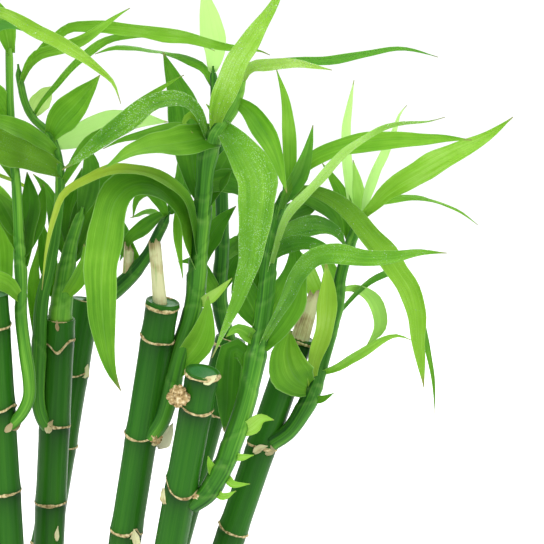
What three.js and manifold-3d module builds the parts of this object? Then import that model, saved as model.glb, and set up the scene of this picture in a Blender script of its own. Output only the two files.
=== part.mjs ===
import * as THREE from "three";
import { mergeVertices } from "three/addons/utils/BufferGeometryUtils.js";
import Module from "manifold-3d";

const wasm = await Module();
wasm.setup();

// Lucky bamboo in a plain round pot, in mm. +Z is up, the front is -Y, and the origin is the middle of
// the pot's underside.

// Pot and gravel
const potHeight = 102;
const potRimRadius = 78;
const potFootRadius = 60;
const potWall = 5;
const potFloor = 6;
const gravelTop = 90;
const caneFoot = 58;
const seatGap = 0.3;
const weld = 0.001;

// Canes
const caneRadius = 9.6;
const ringSwell = 0.9;
const caneSides = 12;

// Leaves: thickness at the rib and at the edge, and how far the edges stand up from the rib
const ribThick = 1.1;
const edgeThick = 0.7;
const trough = 0.28;
const slimLeaf = 13.5;
const stationLength = 31;
// Each leaf's root lies this much beside its neighbour's, in steps, so that no two start at one spot.
const rootShift = 0.3;

// The plant is laid out as it is seen from a standpoint in front of it and a little above. A place on
// that view is [across, down] in steps of 0.62 mm on the plane y = 0, and a depth says how far behind
// that plane the place lies.
const viewStep = 0.62;
const viewMiddle = 272;
const viewTilt = THREE.MathUtils.degToRad(12);
const viewDistance = 1250;
const viewAim = new THREE.Vector3(146, 0, 452);

const towardViewer = new THREE.Vector3(0, -Math.cos(viewTilt), Math.sin(viewTilt));
const viewUp = new THREE.Vector3(0, Math.sin(viewTilt), Math.cos(viewTilt));
const standpoint = viewAim.clone().addScaledVector(towardViewer, viewDistance);

function place(across, down, depth) {
  const ray = towardViewer.clone().negate();
  ray.x += ((across - viewMiddle) * viewStep) / viewDistance;
  ray.addScaledVector(viewUp, ((viewMiddle - down) * viewStep) / viewDistance);
  return standpoint.clone().addScaledVector(ray, (depth - standpoint.y) / ray.y);
}

function sawSpot(point) {
  const line = point.clone().sub(standpoint);
  const away = -line.dot(towardViewer);
  const scale = viewDistance / viewStep / away;
  return [viewMiddle + line.x * scale, viewMiddle - line.dot(viewUp) * scale];
}

function solid(geometry, nearness = 1e-4) {
  const bare = geometry.index ? geometry.clone() : geometry;
  bare.deleteAttribute("normal");
  bare.deleteAttribute("uv");
  const merged = mergeVertices(bare, nearness);
  return new wasm.Manifold(
    new wasm.Mesh({
      numProp: 3,
      vertProperties: new Float32Array(merged.attributes.position.array),
      triVerts: new Uint32Array(merged.index.array),
    }),
  );
}

function fuse(solids) {
  return solids.reduce((whole, piece) => whole.add(piece));
}

// A closed skin over a row of rings with the same number of points. Corners listed in flipped get the
// other diagonal, so that both faces of a blade are split alike.
function skin(rings, flipped = []) {
  const count = rings[0].length;
  const last = rings.length - 1;
  const corners = rings.flat().flatMap((point) => point.toArray());
  const faces = [];
  for (let row = 0; row < last; row += 1) {
    for (let k = 0; k < count; k += 1) {
      const next = (k + 1) % count;
      const a = row * count + k;
      const b = row * count + next;
      const c = (row + 1) * count + next;
      const d = (row + 1) * count + k;
      if (flipped.includes(k)) {
        faces.push(a, b, d, b, c, d);
      } else {
        faces.push(a, b, c, a, c, d);
      }
    }
  }
  for (let k = 1; k < count - 1; k += 1) {
    faces.push(0, k + 1, k);
    faces.push(last * count, last * count + k, last * count + k + 1);
  }
  const geometry = new THREE.BufferGeometry();
  geometry.setAttribute("position", new THREE.Float32BufferAttribute(corners, 3));
  geometry.setIndex(faces);
  return geometry;
}

// A round stem or cane along a line of centres, with a radius at each centre.
function roundStem(centres, radii, sides) {
  const rings = centres.map((centre, i) => {
    const before = centres[Math.max(i - 1, 0)];
    const after = centres[Math.min(i + 1, centres.length - 1)];
    const along = after.clone().sub(before).normalize();
    const side = new THREE.Vector3().crossVectors(along, towardViewer).normalize();
    const front = new THREE.Vector3().crossVectors(side, along);
    return Array.from({ length: sides }, (_, k) => {
      const turn = (2 * Math.PI * k) / sides;
      return centre
        .clone()
        .addScaledVector(side, radii[i] * Math.cos(turn))
        .addScaledVector(front, -radii[i] * Math.sin(turn));
    });
  });
  return solid(skin(rings));
}

// Width of a leaf at t from base to tip, as a share of its widest: it swells from its base and runs out
// to a long point, and sooner with a smaller tail.
function leafWidth(t, belly, base, tail) {
  if (t < belly) {
    return base + (1 - base) * Math.sin(((Math.PI / 2) * t) / belly);
  }
  const u = (t - belly) / (1 - belly);
  return Math.max((1 - u ** tail) * (1 - 0.22 * u), 0.03);
}

function mixed(values, t) {
  const step = t * (values.length - 1);
  const low = Math.min(Math.floor(step), values.length - 2);
  return values[low] + (values[low + 1] - values[low]) * (step - low);
}

// A leaf blade: its rib follows the curve, and its section is a shallow trough that is rolled about
// the rib by the angles in roll, in degrees, spread evenly from base to tip.
function blade(curve, { broad, belly = 0.4, base = 0.34, tail = 1.8, roll = [10, 10] }) {
  const length = curve.getLength();
  const steps = THREE.MathUtils.clamp(Math.round(length / stationLength), 3, 7);
  const slim = broad < slimLeaf;
  const rings = [];
  for (let i = 0; i <= steps; i += 1) {
    const t = i / steps;
    const along = curve.getTangentAt(t);
    const side = new THREE.Vector3().crossVectors(along, towardViewer).normalize();
    side.applyAxisAngle(along, THREE.MathUtils.degToRad(mixed(roll, t)));
    const face = new THREE.Vector3().crossVectors(side, along);
    const half = Math.max((broad / 2) * leafWidth(t, belly, base, tail), 0.5);
    const rise = half * trough;
    const rib = curve.getPointAt(t);
    const spot = (out, up) => rib.clone().addScaledVector(side, out).addScaledVector(face, up);
    const upper = [spot(-half, rise + edgeThick / 2), spot(half, rise + edgeThick / 2)];
    const lower = [spot(half, rise - edgeThick / 2), spot(-half, rise - edgeThick / 2)];
    if (!slim) {
      upper.splice(1, 0, spot(0, ribThick / 2));
      lower.splice(1, 0, spot(0, -ribThick / 2));
    }
    rings.push([...upper, ...lower]);
  }
  return solid(skin(rings, slim ? [2] : [3, 4]));
}

// Canes: head and lower place on the view, depth of the foot in the gravel and how far the cane leans
// back for each mm that it rises, then the heights of its node rings down from the head.
const canes = {
  a: { head: [-8, 294], low: [8, 540], footDepth: -22, leanBack: -0.06, rings: [19, 72, 126, 196, 268] },
  b: { head: [59.5, 318], low: [49, 540], footDepth: 3, leanBack: -0.03, rings: [14, 69, 121, 190, 262] },
  c: { head: [86, 299], low: [46.5, 540], footDepth: 26, leanBack: 0.08, rings: [50, 98, 166, 238, 306] },
  d: { head: [163, 301], low: [125, 540], footDepth: -26, leanBack: -0.1,
    rings: [3, 24, 86, 150, 226, 300] },
  e: { head: [203, 371], low: [171.5, 540], footDepth: -30, leanBack: -0.18,
    rings: [2, 24, 80, 150, 224, 292] },
  f: { head: [231, 338], low: [176, 540], footDepth: 24, leanBack: 0.06, rings: [6, 52, 112, 180, 250] },
  g: { head: [299.5, 336], low: [229, 541], footDepth: 0, leanBack: 0.02, rings: [3, 75, 134, 204, 272] },
};

// Round lumps of cork on the canes: place on the view, depth and radius.
const corkLumps = {
  d: [{ at: [155, 437], depth: -60, radius: 4.2 }],
  e: [
    { at: [178, 397], depth: -93, radius: 6.6 },
    { at: [199, 497], depth: -78, radius: 4 },
  ],
};

// The canes that the view doesn't take in are d, e and g again with their shoots and stubs, turned about
// the pot's middle by degrees, shifted by mm and a little shorter.
const turnedCanes = {
  h: { like: "d", turn: 180, shift: [9, 27] },
  i: { like: "e", turn: 200, shift: [0, -21] },
  j: { like: "g", turn: 210, shift: [18, -21] },
};
const turnedHeight = 0.93;
const twinSlimmest = 11;

function caneEnds({ head, low, footDepth, leanBack }) {
  const solve = ([across, down]) => {
    let depth = footDepth;
    let point = place(across, down, depth);
    for (let i = 0; i < 20; i += 1) {
      depth = footDepth + leanBack * (point.z - gravelTop);
      point = place(across, down, depth);
    }
    return point;
  };
  const top = solve(head);
  const along = top.clone().sub(solve(low)).normalize();
  const foot = top.clone().addScaledVector(along, (caneFoot - top.z) / along.z);
  return { top, foot, along };
}

function caneSolid(letter, grow) {
  const { top, foot, along } = caneEnds(canes[letter]);
  const length = top.distanceTo(foot);
  const stations = [[0, grow > 0 ? 0 : -0.4]];
  for (const down of canes[letter].rings) {
    stations.push([down, ringSwell], [down + 2.5, 0]);
  }
  stations.push([length, -0.6]);
  const kept = stations.filter(([down], i) => i === 0 || (down > 0.8 && down <= length));
  const centres = kept.map(([down]) => top.clone().addScaledVector(along, -down));
  if (grow > 0) {
    centres[0].addScaledVector(along, grow);
    centres[centres.length - 1].addScaledVector(along, -grow);
  }
  const radii = kept.map(([, swell]) => caneRadius + swell + grow);
  let body = roundStem(centres.reverse(), radii.reverse(), caneSides);
  for (const lump of corkLumps[letter] ?? []) {
    const ball = new THREE.IcosahedronGeometry(lump.radius + grow, lump.radius > 5 ? 1 : 0);
    ball.translate(...place(...lump.at, lump.depth).toArray());
    body = body.add(solid(ball));
  }
  return body;
}

// Shoots: the stem's places on the view with their depths, its thickness at foot and top, and its
// leaves. A leaf's route starts on the stem, out is how far its tip ends behind (or, below zero, in
// front of) its base, bow is how far its middle bends the same way, and broad is its full width.
const shoots = {
  a: {
    stem: [[10, 426, -42], [22, 413, -44], [29, 397, -44], [29, 378, -43], [25, 350, -42], [21, 315, -40],
      [21, 280, -38], [19, 240, -36], [17, 195, -34], [13, 150, -32], [10, 100, -30], [9, 25, -28]],
    thick: [7, 8.4, 7, 6.4, 5.4, 4.6, 4.1],
    leaves: [
      { route: [[19, 250], [12, 226], [2, 208], [-12, 192], [-34, 182], [-62, 190]], broad: 16, out: 50 },
      { route: [[22, 300], [6, 284], [-12, 281], [-34, 292], [-52, 312]], broad: 12, out: -50,
        roll: [30, 10] },
      { route: [[9, 52], [3, 24], [-10, 6], [-28, -4], [-50, -4]], broad: 13, out: -30, roll: [30, 20] },
      { route: [[11, 125], [-2, 100], [-18, 88], [-44, 88], [-72, 108]], broad: 15, out: -12,
        roll: [35, 10] },
      { route: [[17, 180], [4, 155], [-14, 146], [-40, 152], [-64, 176]], broad: 16, out: 60,
        roll: [20, 0] },
      { route: [[20, 255], [32, 228], [40, 206], [44, 184]], broad: 13, base: 0.6, out: 30 },
      { route: [[19, 236], [12, 220], [4, 206], [-6, 190]], broad: 14, base: 0.6, out: 20 },
      { route: [[20, 266], [26, 232], [30, 200], [27, 172]], broad: 12.5, belly: 0.6, base: 0.6, out: 24 },
    ],
  },
  l: {
    stem: [[-6, 426, -42], [-19, 412, -44], [-24, 390, -45], [-27, 340, -46], [-29, 280, -47],
      [-30, 200, -48], [-30, 120, -48], [-28, 60, -48], [-26, 18, -48]],
    thick: [7, 4.6],
    leaves: [
      { route: [[-27, 32], [-14, 14], [0, 10], [25, 22], [55, 37], [80, 53], [103, 71], [114, 82],
        [121, 100]], broad: 11, out: -60, roll: [50, 45, 55], belly: 0.5 },
      { route: [[-29, 74], [-14, 37], [0, 24], [15, 24], [30, 30], [44, 38], [58, 42]], broad: 8, out: 6,
        roll: [55, 35] },
      { route: [[-30, 100], [-42, 36], [-58, 14], [-85, 10], [-112, 30], [-132, 62]], broad: 15, out: 50 },
      { route: [[-30, 148], [-42, 110], [-62, 98], [-88, 110], [-108, 145]], broad: 17, out: -60 },
      { route: [[-28, 52], [-22, 10], [-28, -18], [-44, -44]], broad: 13, out: 40, roll: [30, 20] },
      { route: [[-30, 225], [-46, 202], [-70, 200], [-94, 228], [-104, 272]], broad: 18, out: -70 },
      { route: [[-29, 290], [-40, 262], [-58, 250], [-78, 262], [-90, 300]], broad: 15, out: 60 },
    ],
  },
  m: {
    stem: [[50, 430, -8], [42, 418, -14], [38, 400, -16], [39, 350, -16], [42, 300, -15], [49, 270, -13],
      [56, 230, -10], [60, 190, -8], [58, 160, -8], [50, 135, -8], [34, 119, -8], [26, 105, -8],
      [20, 81, -8], [18, 64, -8]],
    thick: [8, 9, 9, 7, 5.5, 4.5, 4],
    leaves: [
      { route: [[21, 82], [28, 64], [38, 54], [50, 50], [65, 46], [80, 40], [95, 31], [118, 15], [130, 8]],
        broad: 9, out: -30, roll: [55, 30] },
      { route: [[20, 76], [35, 55], [47, 40], [56, 33], [70, 24], [95, 24], [125, 28], [160, 34], [190, 37],
        [225, 46], [258, 50], [270, 55]], broad: 12, belly: 0.6, out: -14, roll: [60, 50] },
      { route: [[32, 116], [40, 102], [53, 87], [68, 69], [88, 51], [110, 39], [135, 35], [165, 37],
        [195, 44], [215, 52]], broad: 9, out: 25, roll: [68, 62] },
      { route: [[50, 136], [60, 121], [75, 105], [88, 90], [100, 75]], broad: 19, out: -45, roll: [0, 10] },
      { route: [[34, 118], [38, 106], [45, 95], [53, 86]], broad: 13, out: 45, roll: [10, 30] },
      { route: [[57, 154], [44, 143], [24, 132], [0, 123], [-22, 118], [-44, 124]], broad: 12, out: -90,
        roll: [20, 40] },
      { route: [[59, 172], [44, 163], [24, 154], [0, 145], [-20, 141], [-42, 150], [-58, 172]], broad: 22,
        belly: 0.5, out: -80, roll: [15, 0] },
      { route: [[60, 186], [88, 143], [120, 125], [131, 110], [152, 94], [176, 79], [184, 75]], broad: 9,
        out: -20, roll: [30, 30] },
      { route: [[56, 145], [95, 130], [130, 120], [168, 122]], broad: 18, out: 70, roll: [10, 0] },
      { route: [[40, 345], [36, 312], [34, 278], [38, 246]], broad: 9, belly: 0.5, base: 0.7, out: 10 },
    ],
  },
  b: {
    stem: [[59, 334, -7], [61, 312, -7], [63, 292, -6], [66, 270, -4], [71, 245, -1], [77, 225, 2],
      [83, 207, 4]],
    thick: [15, 5],
    leaves: [
      { route: [[65, 280], [70, 255], [77, 232], [85, 210], [98, 190], [113, 176], [128, 167]], broad: 16,
        belly: 0.6, out: 45, roll: [20, 20] },
      { route: [[68, 258], [60, 236], [54, 208], [44, 186], [33, 174]], broad: 12, out: 50 },
      { route: [[80, 215], [88, 190], [91, 165], [84, 142]], broad: 14, out: 45 },
      { route: [[63, 300], [76, 282], [84, 262], [84, 244]], broad: 10, out: -35, roll: [30, 10] },
      { route: [[68, 262], [82, 238], [98, 218], [118, 204]], broad: 15, base: 0.6, out: 50 },
      { route: [[62, 305], [50, 272], [44, 240], [38, 212]], broad: 12, base: 0.6, out: 30 },
      { route: [[71, 245], [69, 225], [72, 202], [82, 168]], broad: 12, base: 0.6, out: 40 },
    ],
  },
  c: {
    stem: [[84, 308, 52], [95, 301, 50], [108, 295, 48], [121, 285, 46], [135, 271, 44], [148, 254, 42],
      [159, 232, 40], [170, 212, 38]],
    thick: [10, 11.5, 9, 6.5, 4],
    leaves: [
      { route: [[169, 214], [158, 218], [145, 228], [130, 239], [120, 261]], broad: 11, out: 30,
        roll: [30, 20] },
      { route: [[167, 218], [158, 200], [146, 192], [137, 200], [133, 218]], broad: 8, out: -20,
        roll: [20, 20] },
      { route: [[165, 222], [150, 213], [130, 218]], broad: 7, out: 40, roll: [50, 50] },
      { route: [[169, 214], [176, 190], [178, 165], [172, 138]], broad: 14, out: 50 },
      { route: [[140, 266], [124, 246], [112, 220], [96, 206], [80, 208]], broad: 14, out: 60 },
    ],
  },
  d: {
    stem: [[150, 437, -58], [161, 420, -59], [166, 405, -58], [172, 380, -57], [180, 350, -56],
      [190, 320, -56], [196, 290, -56], [199, 250, -56], [203, 200, -56], [207, 160, -56], [213, 135, -56],
      [222, 122, -56], [232, 107, -57], [238, 88, -57], [241, 70, -57]],
    thick: [11, 12, 11, 10, 9.8, 9, 7],
    leaves: [
      { route: [[215, 132], [217, 108], [224, 88], [232, 65], [243, 45], [255, 25], [268, 5], [285, -25]],
        broad: 14, belly: 0.34, out: -60, roll: [20, 10, 25] },
      { route: [[209, 148], [195, 110], [180, 100], [162, 101], [145, 109], [125, 124], [100, 142],
        [80, 158], [62, 170]], broad: 13, belly: 0.62, out: -70, roll: [60, 25, 10] },
      { route: [[202, 205], [194, 178], [190, 150], [185, 125], [179, 95], [170, 72], [163, 52]], broad: 21,
        belly: 0.48, out: 70, roll: [10, 0] },
      { route: [[209, 152], [196, 134], [180, 129], [160, 131], [140, 136], [120, 141], [103, 149]],
        broad: 9, out: 12, roll: [45, 40] },
      { route: [[212, 139], [204, 138], [190, 141], [170, 144], [150, 147], [130, 153], [115, 162],
        [103, 169]], broad: 19, belly: 0.24, base: 0.7, out: -75, roll: [10, 40] },
      { route: [[198, 262], [193, 225], [187, 200], [175, 185], [160, 175], [140, 170], [115, 171],
        [90, 179], [65, 195], [55, 218], [47, 250], [42, 290]], broad: 11, out: -40,
        roll: [60, 45, 50, 55] },
      { route: [[196, 280], [187, 245], [180, 215], [170, 197], [158, 184], [145, 179], [128, 183],
        [115, 200], [108, 230], [102, 270], [102, 310], [106, 345], [112, 372], [121, 391]], broad: 22,
        belly: 0.5, tail: 3, out: -60, roll: [50, 30, 8, 0, 12] },
      { route: [[220, 126], [235, 145], [247, 163], [259, 178], [260, 190], [258, 205], [255, 225],
        [252, 245], [249, 265], [243, 285], [233, 310], [222, 335], [212, 358]], broad: 24, belly: 0.3,
        tail: 1.1, out: -70, roll: [15, 0] },
      { route: [[236, 98], [252, 110], [262, 125], [270, 140], [277, 158], [283, 178], [287, 193]],
        broad: 12, out: -36, roll: [20, 30] },
      { route: [[238, 86], [250, 67], [270, 63], [285, 62], [300, 63], [315, 66], [332, 70]], broad: 9,
        out: -45, roll: [50, 45] },
      { route: [[240, 77], [262, 64], [298, 60], [325, 59], [345, 57], [370, 52], [395, 48], [410, 49],
        [438, 57]], broad: 8, out: 20, roll: [55, 55] },
      { route: [[184, 374], [197, 345], [206, 320], [208, 296]], broad: 17, base: 0.6, out: -12 },
      { route: [[196, 308], [212, 296], [232, 278]], broad: 7, out: -12, roll: [20, 20] },
      { route: [[200, 248], [192, 232], [189, 212], [188, 195]], broad: 6, out: -8 },
      { route: [[203, 208], [190, 203], [180, 212], [178, 235], [180, 255], [183, 279]], broad: 6,
        out: -14 },
      { route: [[203, 205], [214, 180], [226, 160], [236, 138]], broad: 15, base: 0.6, out: 30 },
      { route: [[205, 186], [222, 180], [240, 185], [256, 202]], broad: 15, base: 0.6, out: 40 },
      { route: [[198, 262], [208, 240], [222, 220], [236, 206]], broad: 13, base: 0.6, out: 25 },
      { route: [[212, 139], [201, 122], [190, 115], [184, 124], [193, 133]], broad: 5, out: -12 },
      { route: [[218, 128], [213, 112], [206, 104]], broad: 5, out: -10 },
    ],
  },
  e: {
    stem: [[192, 505, -75], [206, 494, -77], [219, 475, -77], [226, 460, -76], [233, 440, -75],
      [240, 420, -73], [246, 400, -70], [251, 380, -68], [255, 360, -65], [259, 340, -62], [264, 310, -58],
      [268, 270, -54], [272, 240, -51], [278, 215, -48], [284, 195, -46], [288, 184, -45]],
    thick: [10.5, 12.5, 11, 9, 4.5],
    leaves: [
      { route: [[268, 275], [274, 250], [280, 228], [290, 208], [305, 193], [330, 165], [345, 150],
        [360, 140], [380, 128], [400, 123], [430, 121], [445, 117]], broad: 10, out: -70,
        roll: [55, 45, 50] },
      { route: [[275, 226], [284, 196], [295, 175], [312, 158], [335, 148], [360, 142], [390, 139],
        [420, 139], [445, 138], [472, 140]], broad: 12, belly: 0.6, out: -30, roll: [60, 25, 25] },
      { route: [[285, 192], [308, 189], [325, 194], [345, 206], [365, 228], [383, 248], [397, 270],
        [410, 292], [416, 315], [418, 340], [421, 362], [424, 388]], broad: 14, belly: 0.5, tail: 2.6,
        out: 40, roll: [30, 10] },
      { route: [[257, 352], [270, 326], [285, 300], [297, 275], [312, 257], [335, 253], [365, 257],
        [395, 256], [420, 252], [447, 253]], broad: 12, belly: 0.58, out: -60, roll: [60, 20, 20] },
      { route: [[272, 241], [285, 232], [302, 226], [320, 225], [336, 231], [346, 247]], broad: 13, out: 30,
        roll: [25, 10] },
      { route: [[270, 258], [285, 246], [305, 242], [325, 247], [340, 257]], broad: 10, out: -30,
        roll: [25, 10] },
      { route: [[278, 215], [300, 212], [325, 199]], broad: 9, out: 30 },
      { route: [[283, 199], [289, 172], [289, 145], [288, 120], [284, 95], [276, 68]], broad: 9, out: 40 },
      { route: [[281, 206], [298, 178], [305, 160], [310, 140], [313, 125]], broad: 10, out: -25 },
      { route: [[218, 478], [211, 467], [208, 456]], broad: 6, out: -6 },
      { route: [[228, 456], [240, 457], [254, 455]], broad: 5, out: -6 },
      { route: [[222, 468], [232, 483], [250, 484]], broad: 5, out: -8 },
      { route: [[212, 486], [222, 496], [236, 491]], broad: 5, out: -8 },
      { route: [[236, 432], [250, 427], [262, 418], [274, 420]], broad: 10, out: -8 },
      { route: [[258, 345], [247, 334], [237, 329], [226, 337]], broad: 9, out: -10 },
      { route: [[260, 345], [276, 319], [289, 292], [296, 264], [292, 238]], broad: 24, base: 0.6, out: 20,
        roll: [0, 0] },
      { route: [[252, 378], [243, 352], [233, 348], [228, 375], [227, 405], [224, 432]], broad: 16,
        belly: 0.6, out: 22, roll: [0, 0] },
      { route: [[266, 292], [256, 262], [258, 232], [268, 205]], broad: 13, base: 0.6, out: 30 },
      { route: [[273, 235], [288, 216], [306, 206], [322, 208]], broad: 14, base: 0.6, out: 50 },
      { route: [[262, 325], [250, 304], [242, 284], [240, 262]], broad: 18, base: 0.6, out: 22,
        roll: [0, 0] },
      { route: [[284, 196], [304, 196], [324, 205], [338, 222], [344, 240]], broad: 10.5, out: 40 },
    ],
  },
  f: {
    stem: [[230, 344, 43], [224, 325, 43], [220, 300, 42], [220, 280, 41], [222, 250, 39], [222, 200, 36],
      [219, 150, 33], [215, 100, 30], [213, 66, 28]],
    thick: [10, 9, 7, 4],
    leaves: [
      { route: [[213, 74], [212, 50], [211, 32], [210, 16], [208, 0], [205, -20]], broad: 14.5, belly: 0.38,
        out: 50, roll: [0, 10] },
      { route: [[214, 86], [205, 68], [190, 60], [180, 56], [165, 53], [152, 51], [135, 49], [115, 49],
        [97, 53]], broad: 10, out: 30, roll: [-30, -160] },
      { route: [[222, 232], [213, 212], [210, 190], [214, 165]], broad: 13, out: 50 },
      { route: [[221, 182], [236, 160], [250, 154], [264, 168]], broad: 10, out: 45 },
      { route: [[222, 262], [235, 245], [248, 248], [255, 275]], broad: 13, out: 50 },
      { route: [[220, 300], [206, 280], [196, 262], [178, 262]], broad: 12, out: -25 },
      { route: [[221, 285], [232, 262], [244, 238], [248, 212]], broad: 15, base: 0.6, out: 30 },
    ],
  },
  g: {
    stem: [[272, 443, -2], [289, 431, -3], [305, 407, -2], [316, 381, 0], [323, 356, 2], [330, 330, 4],
      [337, 305, 5], [340, 280, 6], [345, 260, 7], [352, 240, 8], [358, 225, 9], [364, 212, 9]],
    thick: [10.5, 10, 8, 4.5],
    leaves: [
      { route: [[363, 215], [375, 203], [385, 193], [400, 182], [420, 171], [440, 160], [460, 149],
        [478, 141], [490, 134], [513, 117]], broad: 15, belly: 0.45, out: -50, roll: [35, 5, 20] },
      { route: [[357, 228], [371, 208], [385, 200], [410, 197], [425, 198], [445, 204], [460, 211],
        [478, 225]], broad: 7, out: 30, roll: [80, 55, 85, 55] },
      { route: [[361, 221], [371, 187], [378, 170], [385, 155], [395, 130], [400, 115], [408, 106]],
        broad: 8, out: 55, roll: [30, 40] },
      { route: [[354, 236], [350, 206], [348, 185], [346, 165], [345, 130], [347, 112], [353, 80]], broad: 7,
        belly: 0.55, out: 60, roll: [50, 20] },
      { route: [[350, 246], [343, 200], [331, 176], [322, 163]], broad: 11, out: 30 },
      { route: [[338, 300], [360, 287], [378, 274], [396, 270], [415, 298], [427, 338], [431, 358],
        [434, 378], [434, 411]], broad: 8, out: 50, roll: [55, 45] },
      { route: [[318, 370], [335, 366], [350, 357], [370, 345], [390, 335], [400, 334], [410, 339]],
        broad: 8, out: -45, roll: [45, 40] },
      { route: [[340, 290], [350, 287], [360, 290], [368, 298], [375, 313], [375, 328], [363, 346]],
        broad: 10, belly: 0.6, out: 40, roll: [40, 0] },
      { route: [[308, 393], [312, 370], [317, 350], [323, 330], [326, 310], [327, 290], [326, 262]],
        broad: 13, belly: 0.7, out: -34, roll: [30, 10] },
      { route: [[309, 391], [294, 382], [284, 367], [284, 348], [291, 330]], broad: 28, belly: 0.36,
        out: -16, bow: -8, roll: [0, -10] },
      { route: [[306, 398], [321, 399], [334, 393]], broad: 5, out: -6 },
      { route: [[332, 325], [320, 300], [308, 276], [296, 248]], broad: 12, belly: 0.7, out: 25 },
      { route: [[338, 300], [335, 282], [327, 264], [314, 246]], broad: 10.5, base: 0.6, out: 45 },
      { route: [[358, 228], [358, 205], [354, 182], [350, 160]], broad: 9, base: 0.7, out: 34 },
    ],
  },
};

// Dry leaf stubs: foot and top on the view with depths, and thickness at both.
const stubs = {
  c: { foot: [128, 276, 45], top: [129, 244, 45], thick: [7.5, 6] },
  d: { foot: [160.5, 306, -61.5], top: [155, 240, -60], thick: [8.4, 7] },
  g: { foot: [299, 341, 5], top: [315, 290, 5], thick: [12, 6] },
};

function centreLine(stem) {
  return new THREE.CatmullRomCurve3(stem.map(([across, down, depth]) => place(across, down, depth)));
}

function leafCurve(stemCurve, { route, out, bow = 0 }, order) {
  const samples = stemCurve.getSpacedPoints(120);
  const [across, down] = route[0];
  const gap = (point) => {
    const [x, y] = sawSpot(point);
    return Math.hypot(x - across, y - down);
  };
  const root = samples.reduce((best, point) => (gap(point) < gap(best) ? point : best)).clone();
  root.x += rootShift * (((order * 7) % 5) - 2);
  root.y += rootShift * (((order * 3) % 5) - 2);
  const lengths = [0];
  for (let i = 1; i < route.length; i += 1) {
    lengths.push(lengths[i - 1] + Math.hypot(route[i][0] - route[i - 1][0], route[i][1] - route[i - 1][1]));
  }
  const whole = lengths[lengths.length - 1];
  const points = route.map(([x, y], i) => {
    const t = lengths[i] / whole;
    return place(x, y, root.y + out * t + bow * Math.sin(Math.PI * t));
  });
  points[0] = root;
  return new THREE.CatmullRomCurve3(points);
}

function shootSolid({ stem, thick, leaves }, slimmest) {
  const line = centreLine(stem);
  const steps = Math.round(line.getLength() / 26) + 2;
  const centres = line.getSpacedPoints(steps);
  const radii = centres.map((_, i) => mixed(thick, i / steps) / 2);
  const pieces = [roundStem(centres, radii, 6)];
  leaves.forEach((leaf, order) => {
    if (leaf.broad >= slimmest) {
      pieces.push(blade(leafCurve(line, leaf, order), leaf));
    }
  });
  return fuse(pieces);
}

function turned(body, { turn, shift }) {
  const surface = surfaceOf(body);
  surface.translate(0, 0, -caneFoot);
  surface.scale(1, 1, turnedHeight);
  surface.rotateZ(THREE.MathUtils.degToRad(turn));
  surface.translate(...shift, caneFoot);
  return solid(surface);
}

function stubSolid({ foot, top, thick }, grow) {
  const ends = [place(...foot), place(...top)];
  const centres = [ends[0], ends[0].clone().lerp(ends[1], 0.5), ends[1]];
  return roundStem(centres, [thick[0] / 2 + grow, thick[0] / 2.3 + grow, thick[1] / 2 + grow], 9);
}

function potSolid() {
  const profile = [
    [0, 0],
    [potFootRadius, 0],
    [potFootRadius + 3, 4],
    [potRimRadius - 4, 88],
    [potRimRadius, 91],
    [potRimRadius, potHeight - 1.5],
    [potRimRadius - 1.5, potHeight],
    [potRimRadius - potWall, potHeight],
    [potRimRadius - 4 - potWall, 84],
    [potFootRadius + 3 - potWall, potFloor + 2],
    [potFootRadius - potWall, potFloor],
    [0, potFloor],
  ];
  const lathe = new THREE.LatheGeometry(profile.map(([r, z]) => new THREE.Vector2(r, z)), 32);
  lathe.rotateX(Math.PI / 2);
  return solid(lathe);
}

function gravelSolid(holes) {
  const profile = [
    [0, potFloor + seatGap],
    [potFootRadius - potWall - 0.6, potFloor + seatGap],
    [potFootRadius + 3 - potWall - 0.5, potFloor + 2.4],
    [potRimRadius - 4 - potWall - 0.5, 84],
    [potRimRadius - 8 - potWall, gravelTop - 3],
    [0, gravelTop - 3],
  ];
  const lathe = new THREE.LatheGeometry(profile.map(([r, z]) => new THREE.Vector2(r, z)), 32);
  lathe.rotateX(Math.PI / 2);
  let bed = solid(lathe);
  const pebbles = 17;
  for (let i = 0; i < pebbles; i += 1) {
    const radius = 60 * Math.sqrt((i + 0.5) / pebbles);
    const angle = i * 2.39996;
    const size = 9 + 1.8 * Math.sin(i * 5.3);
    const pebble = new THREE.IcosahedronGeometry(size, 0);
    pebble.rotateX(i * 1.7);
    pebble.rotateZ(i * 2.3);
    pebble.scale(1, 1, 0.75);
    pebble.translate(radius * Math.cos(angle), radius * Math.sin(angle), gravelTop - 4);
    bed = bed.add(solid(pebble));
  }
  for (const hole of holes) {
    bed = bed.subtract(hole);
  }
  return bed;
}

const potColour = 0xc5bcaa;
const caneColour = 0x1f7a2c;
const shootColour = 0x4fae2f;
const stubColour = 0xc9b694;
const gravelColour = 0xb9ab97;

const plant = new THREE.Group();
plant.name = "lucky_bamboo";

function surfaceOf(body) {
  const mesh = body.getMesh();
  const geometry = new THREE.BufferGeometry();
  geometry.setAttribute("position", new THREE.BufferAttribute(new Float32Array(mesh.vertProperties), 3));
  geometry.setIndex(Array.from(mesh.triVerts));
  return geometry;
}

// A cut can leave a crumb beside the piece: corners closer than the weld are joined, and the crumb goes.
function withoutCrumbs(body) {
  const pieces = solid(surfaceOf(body), weld).decompose();
  return pieces.reduce((best, piece) => (piece.volume() > best.volume() ? piece : best));
}

function addNode(name, body, colour, roughness) {
  const geometry = surfaceOf(withoutCrumbs(body));
  geometry.computeVertexNormals();
  const material = new THREE.MeshStandardMaterial({ color: colour, roughness, metalness: 0 });
  const node = new THREE.Mesh(geometry, material);
  node.name = name;
  plant.add(node);
}

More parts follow.
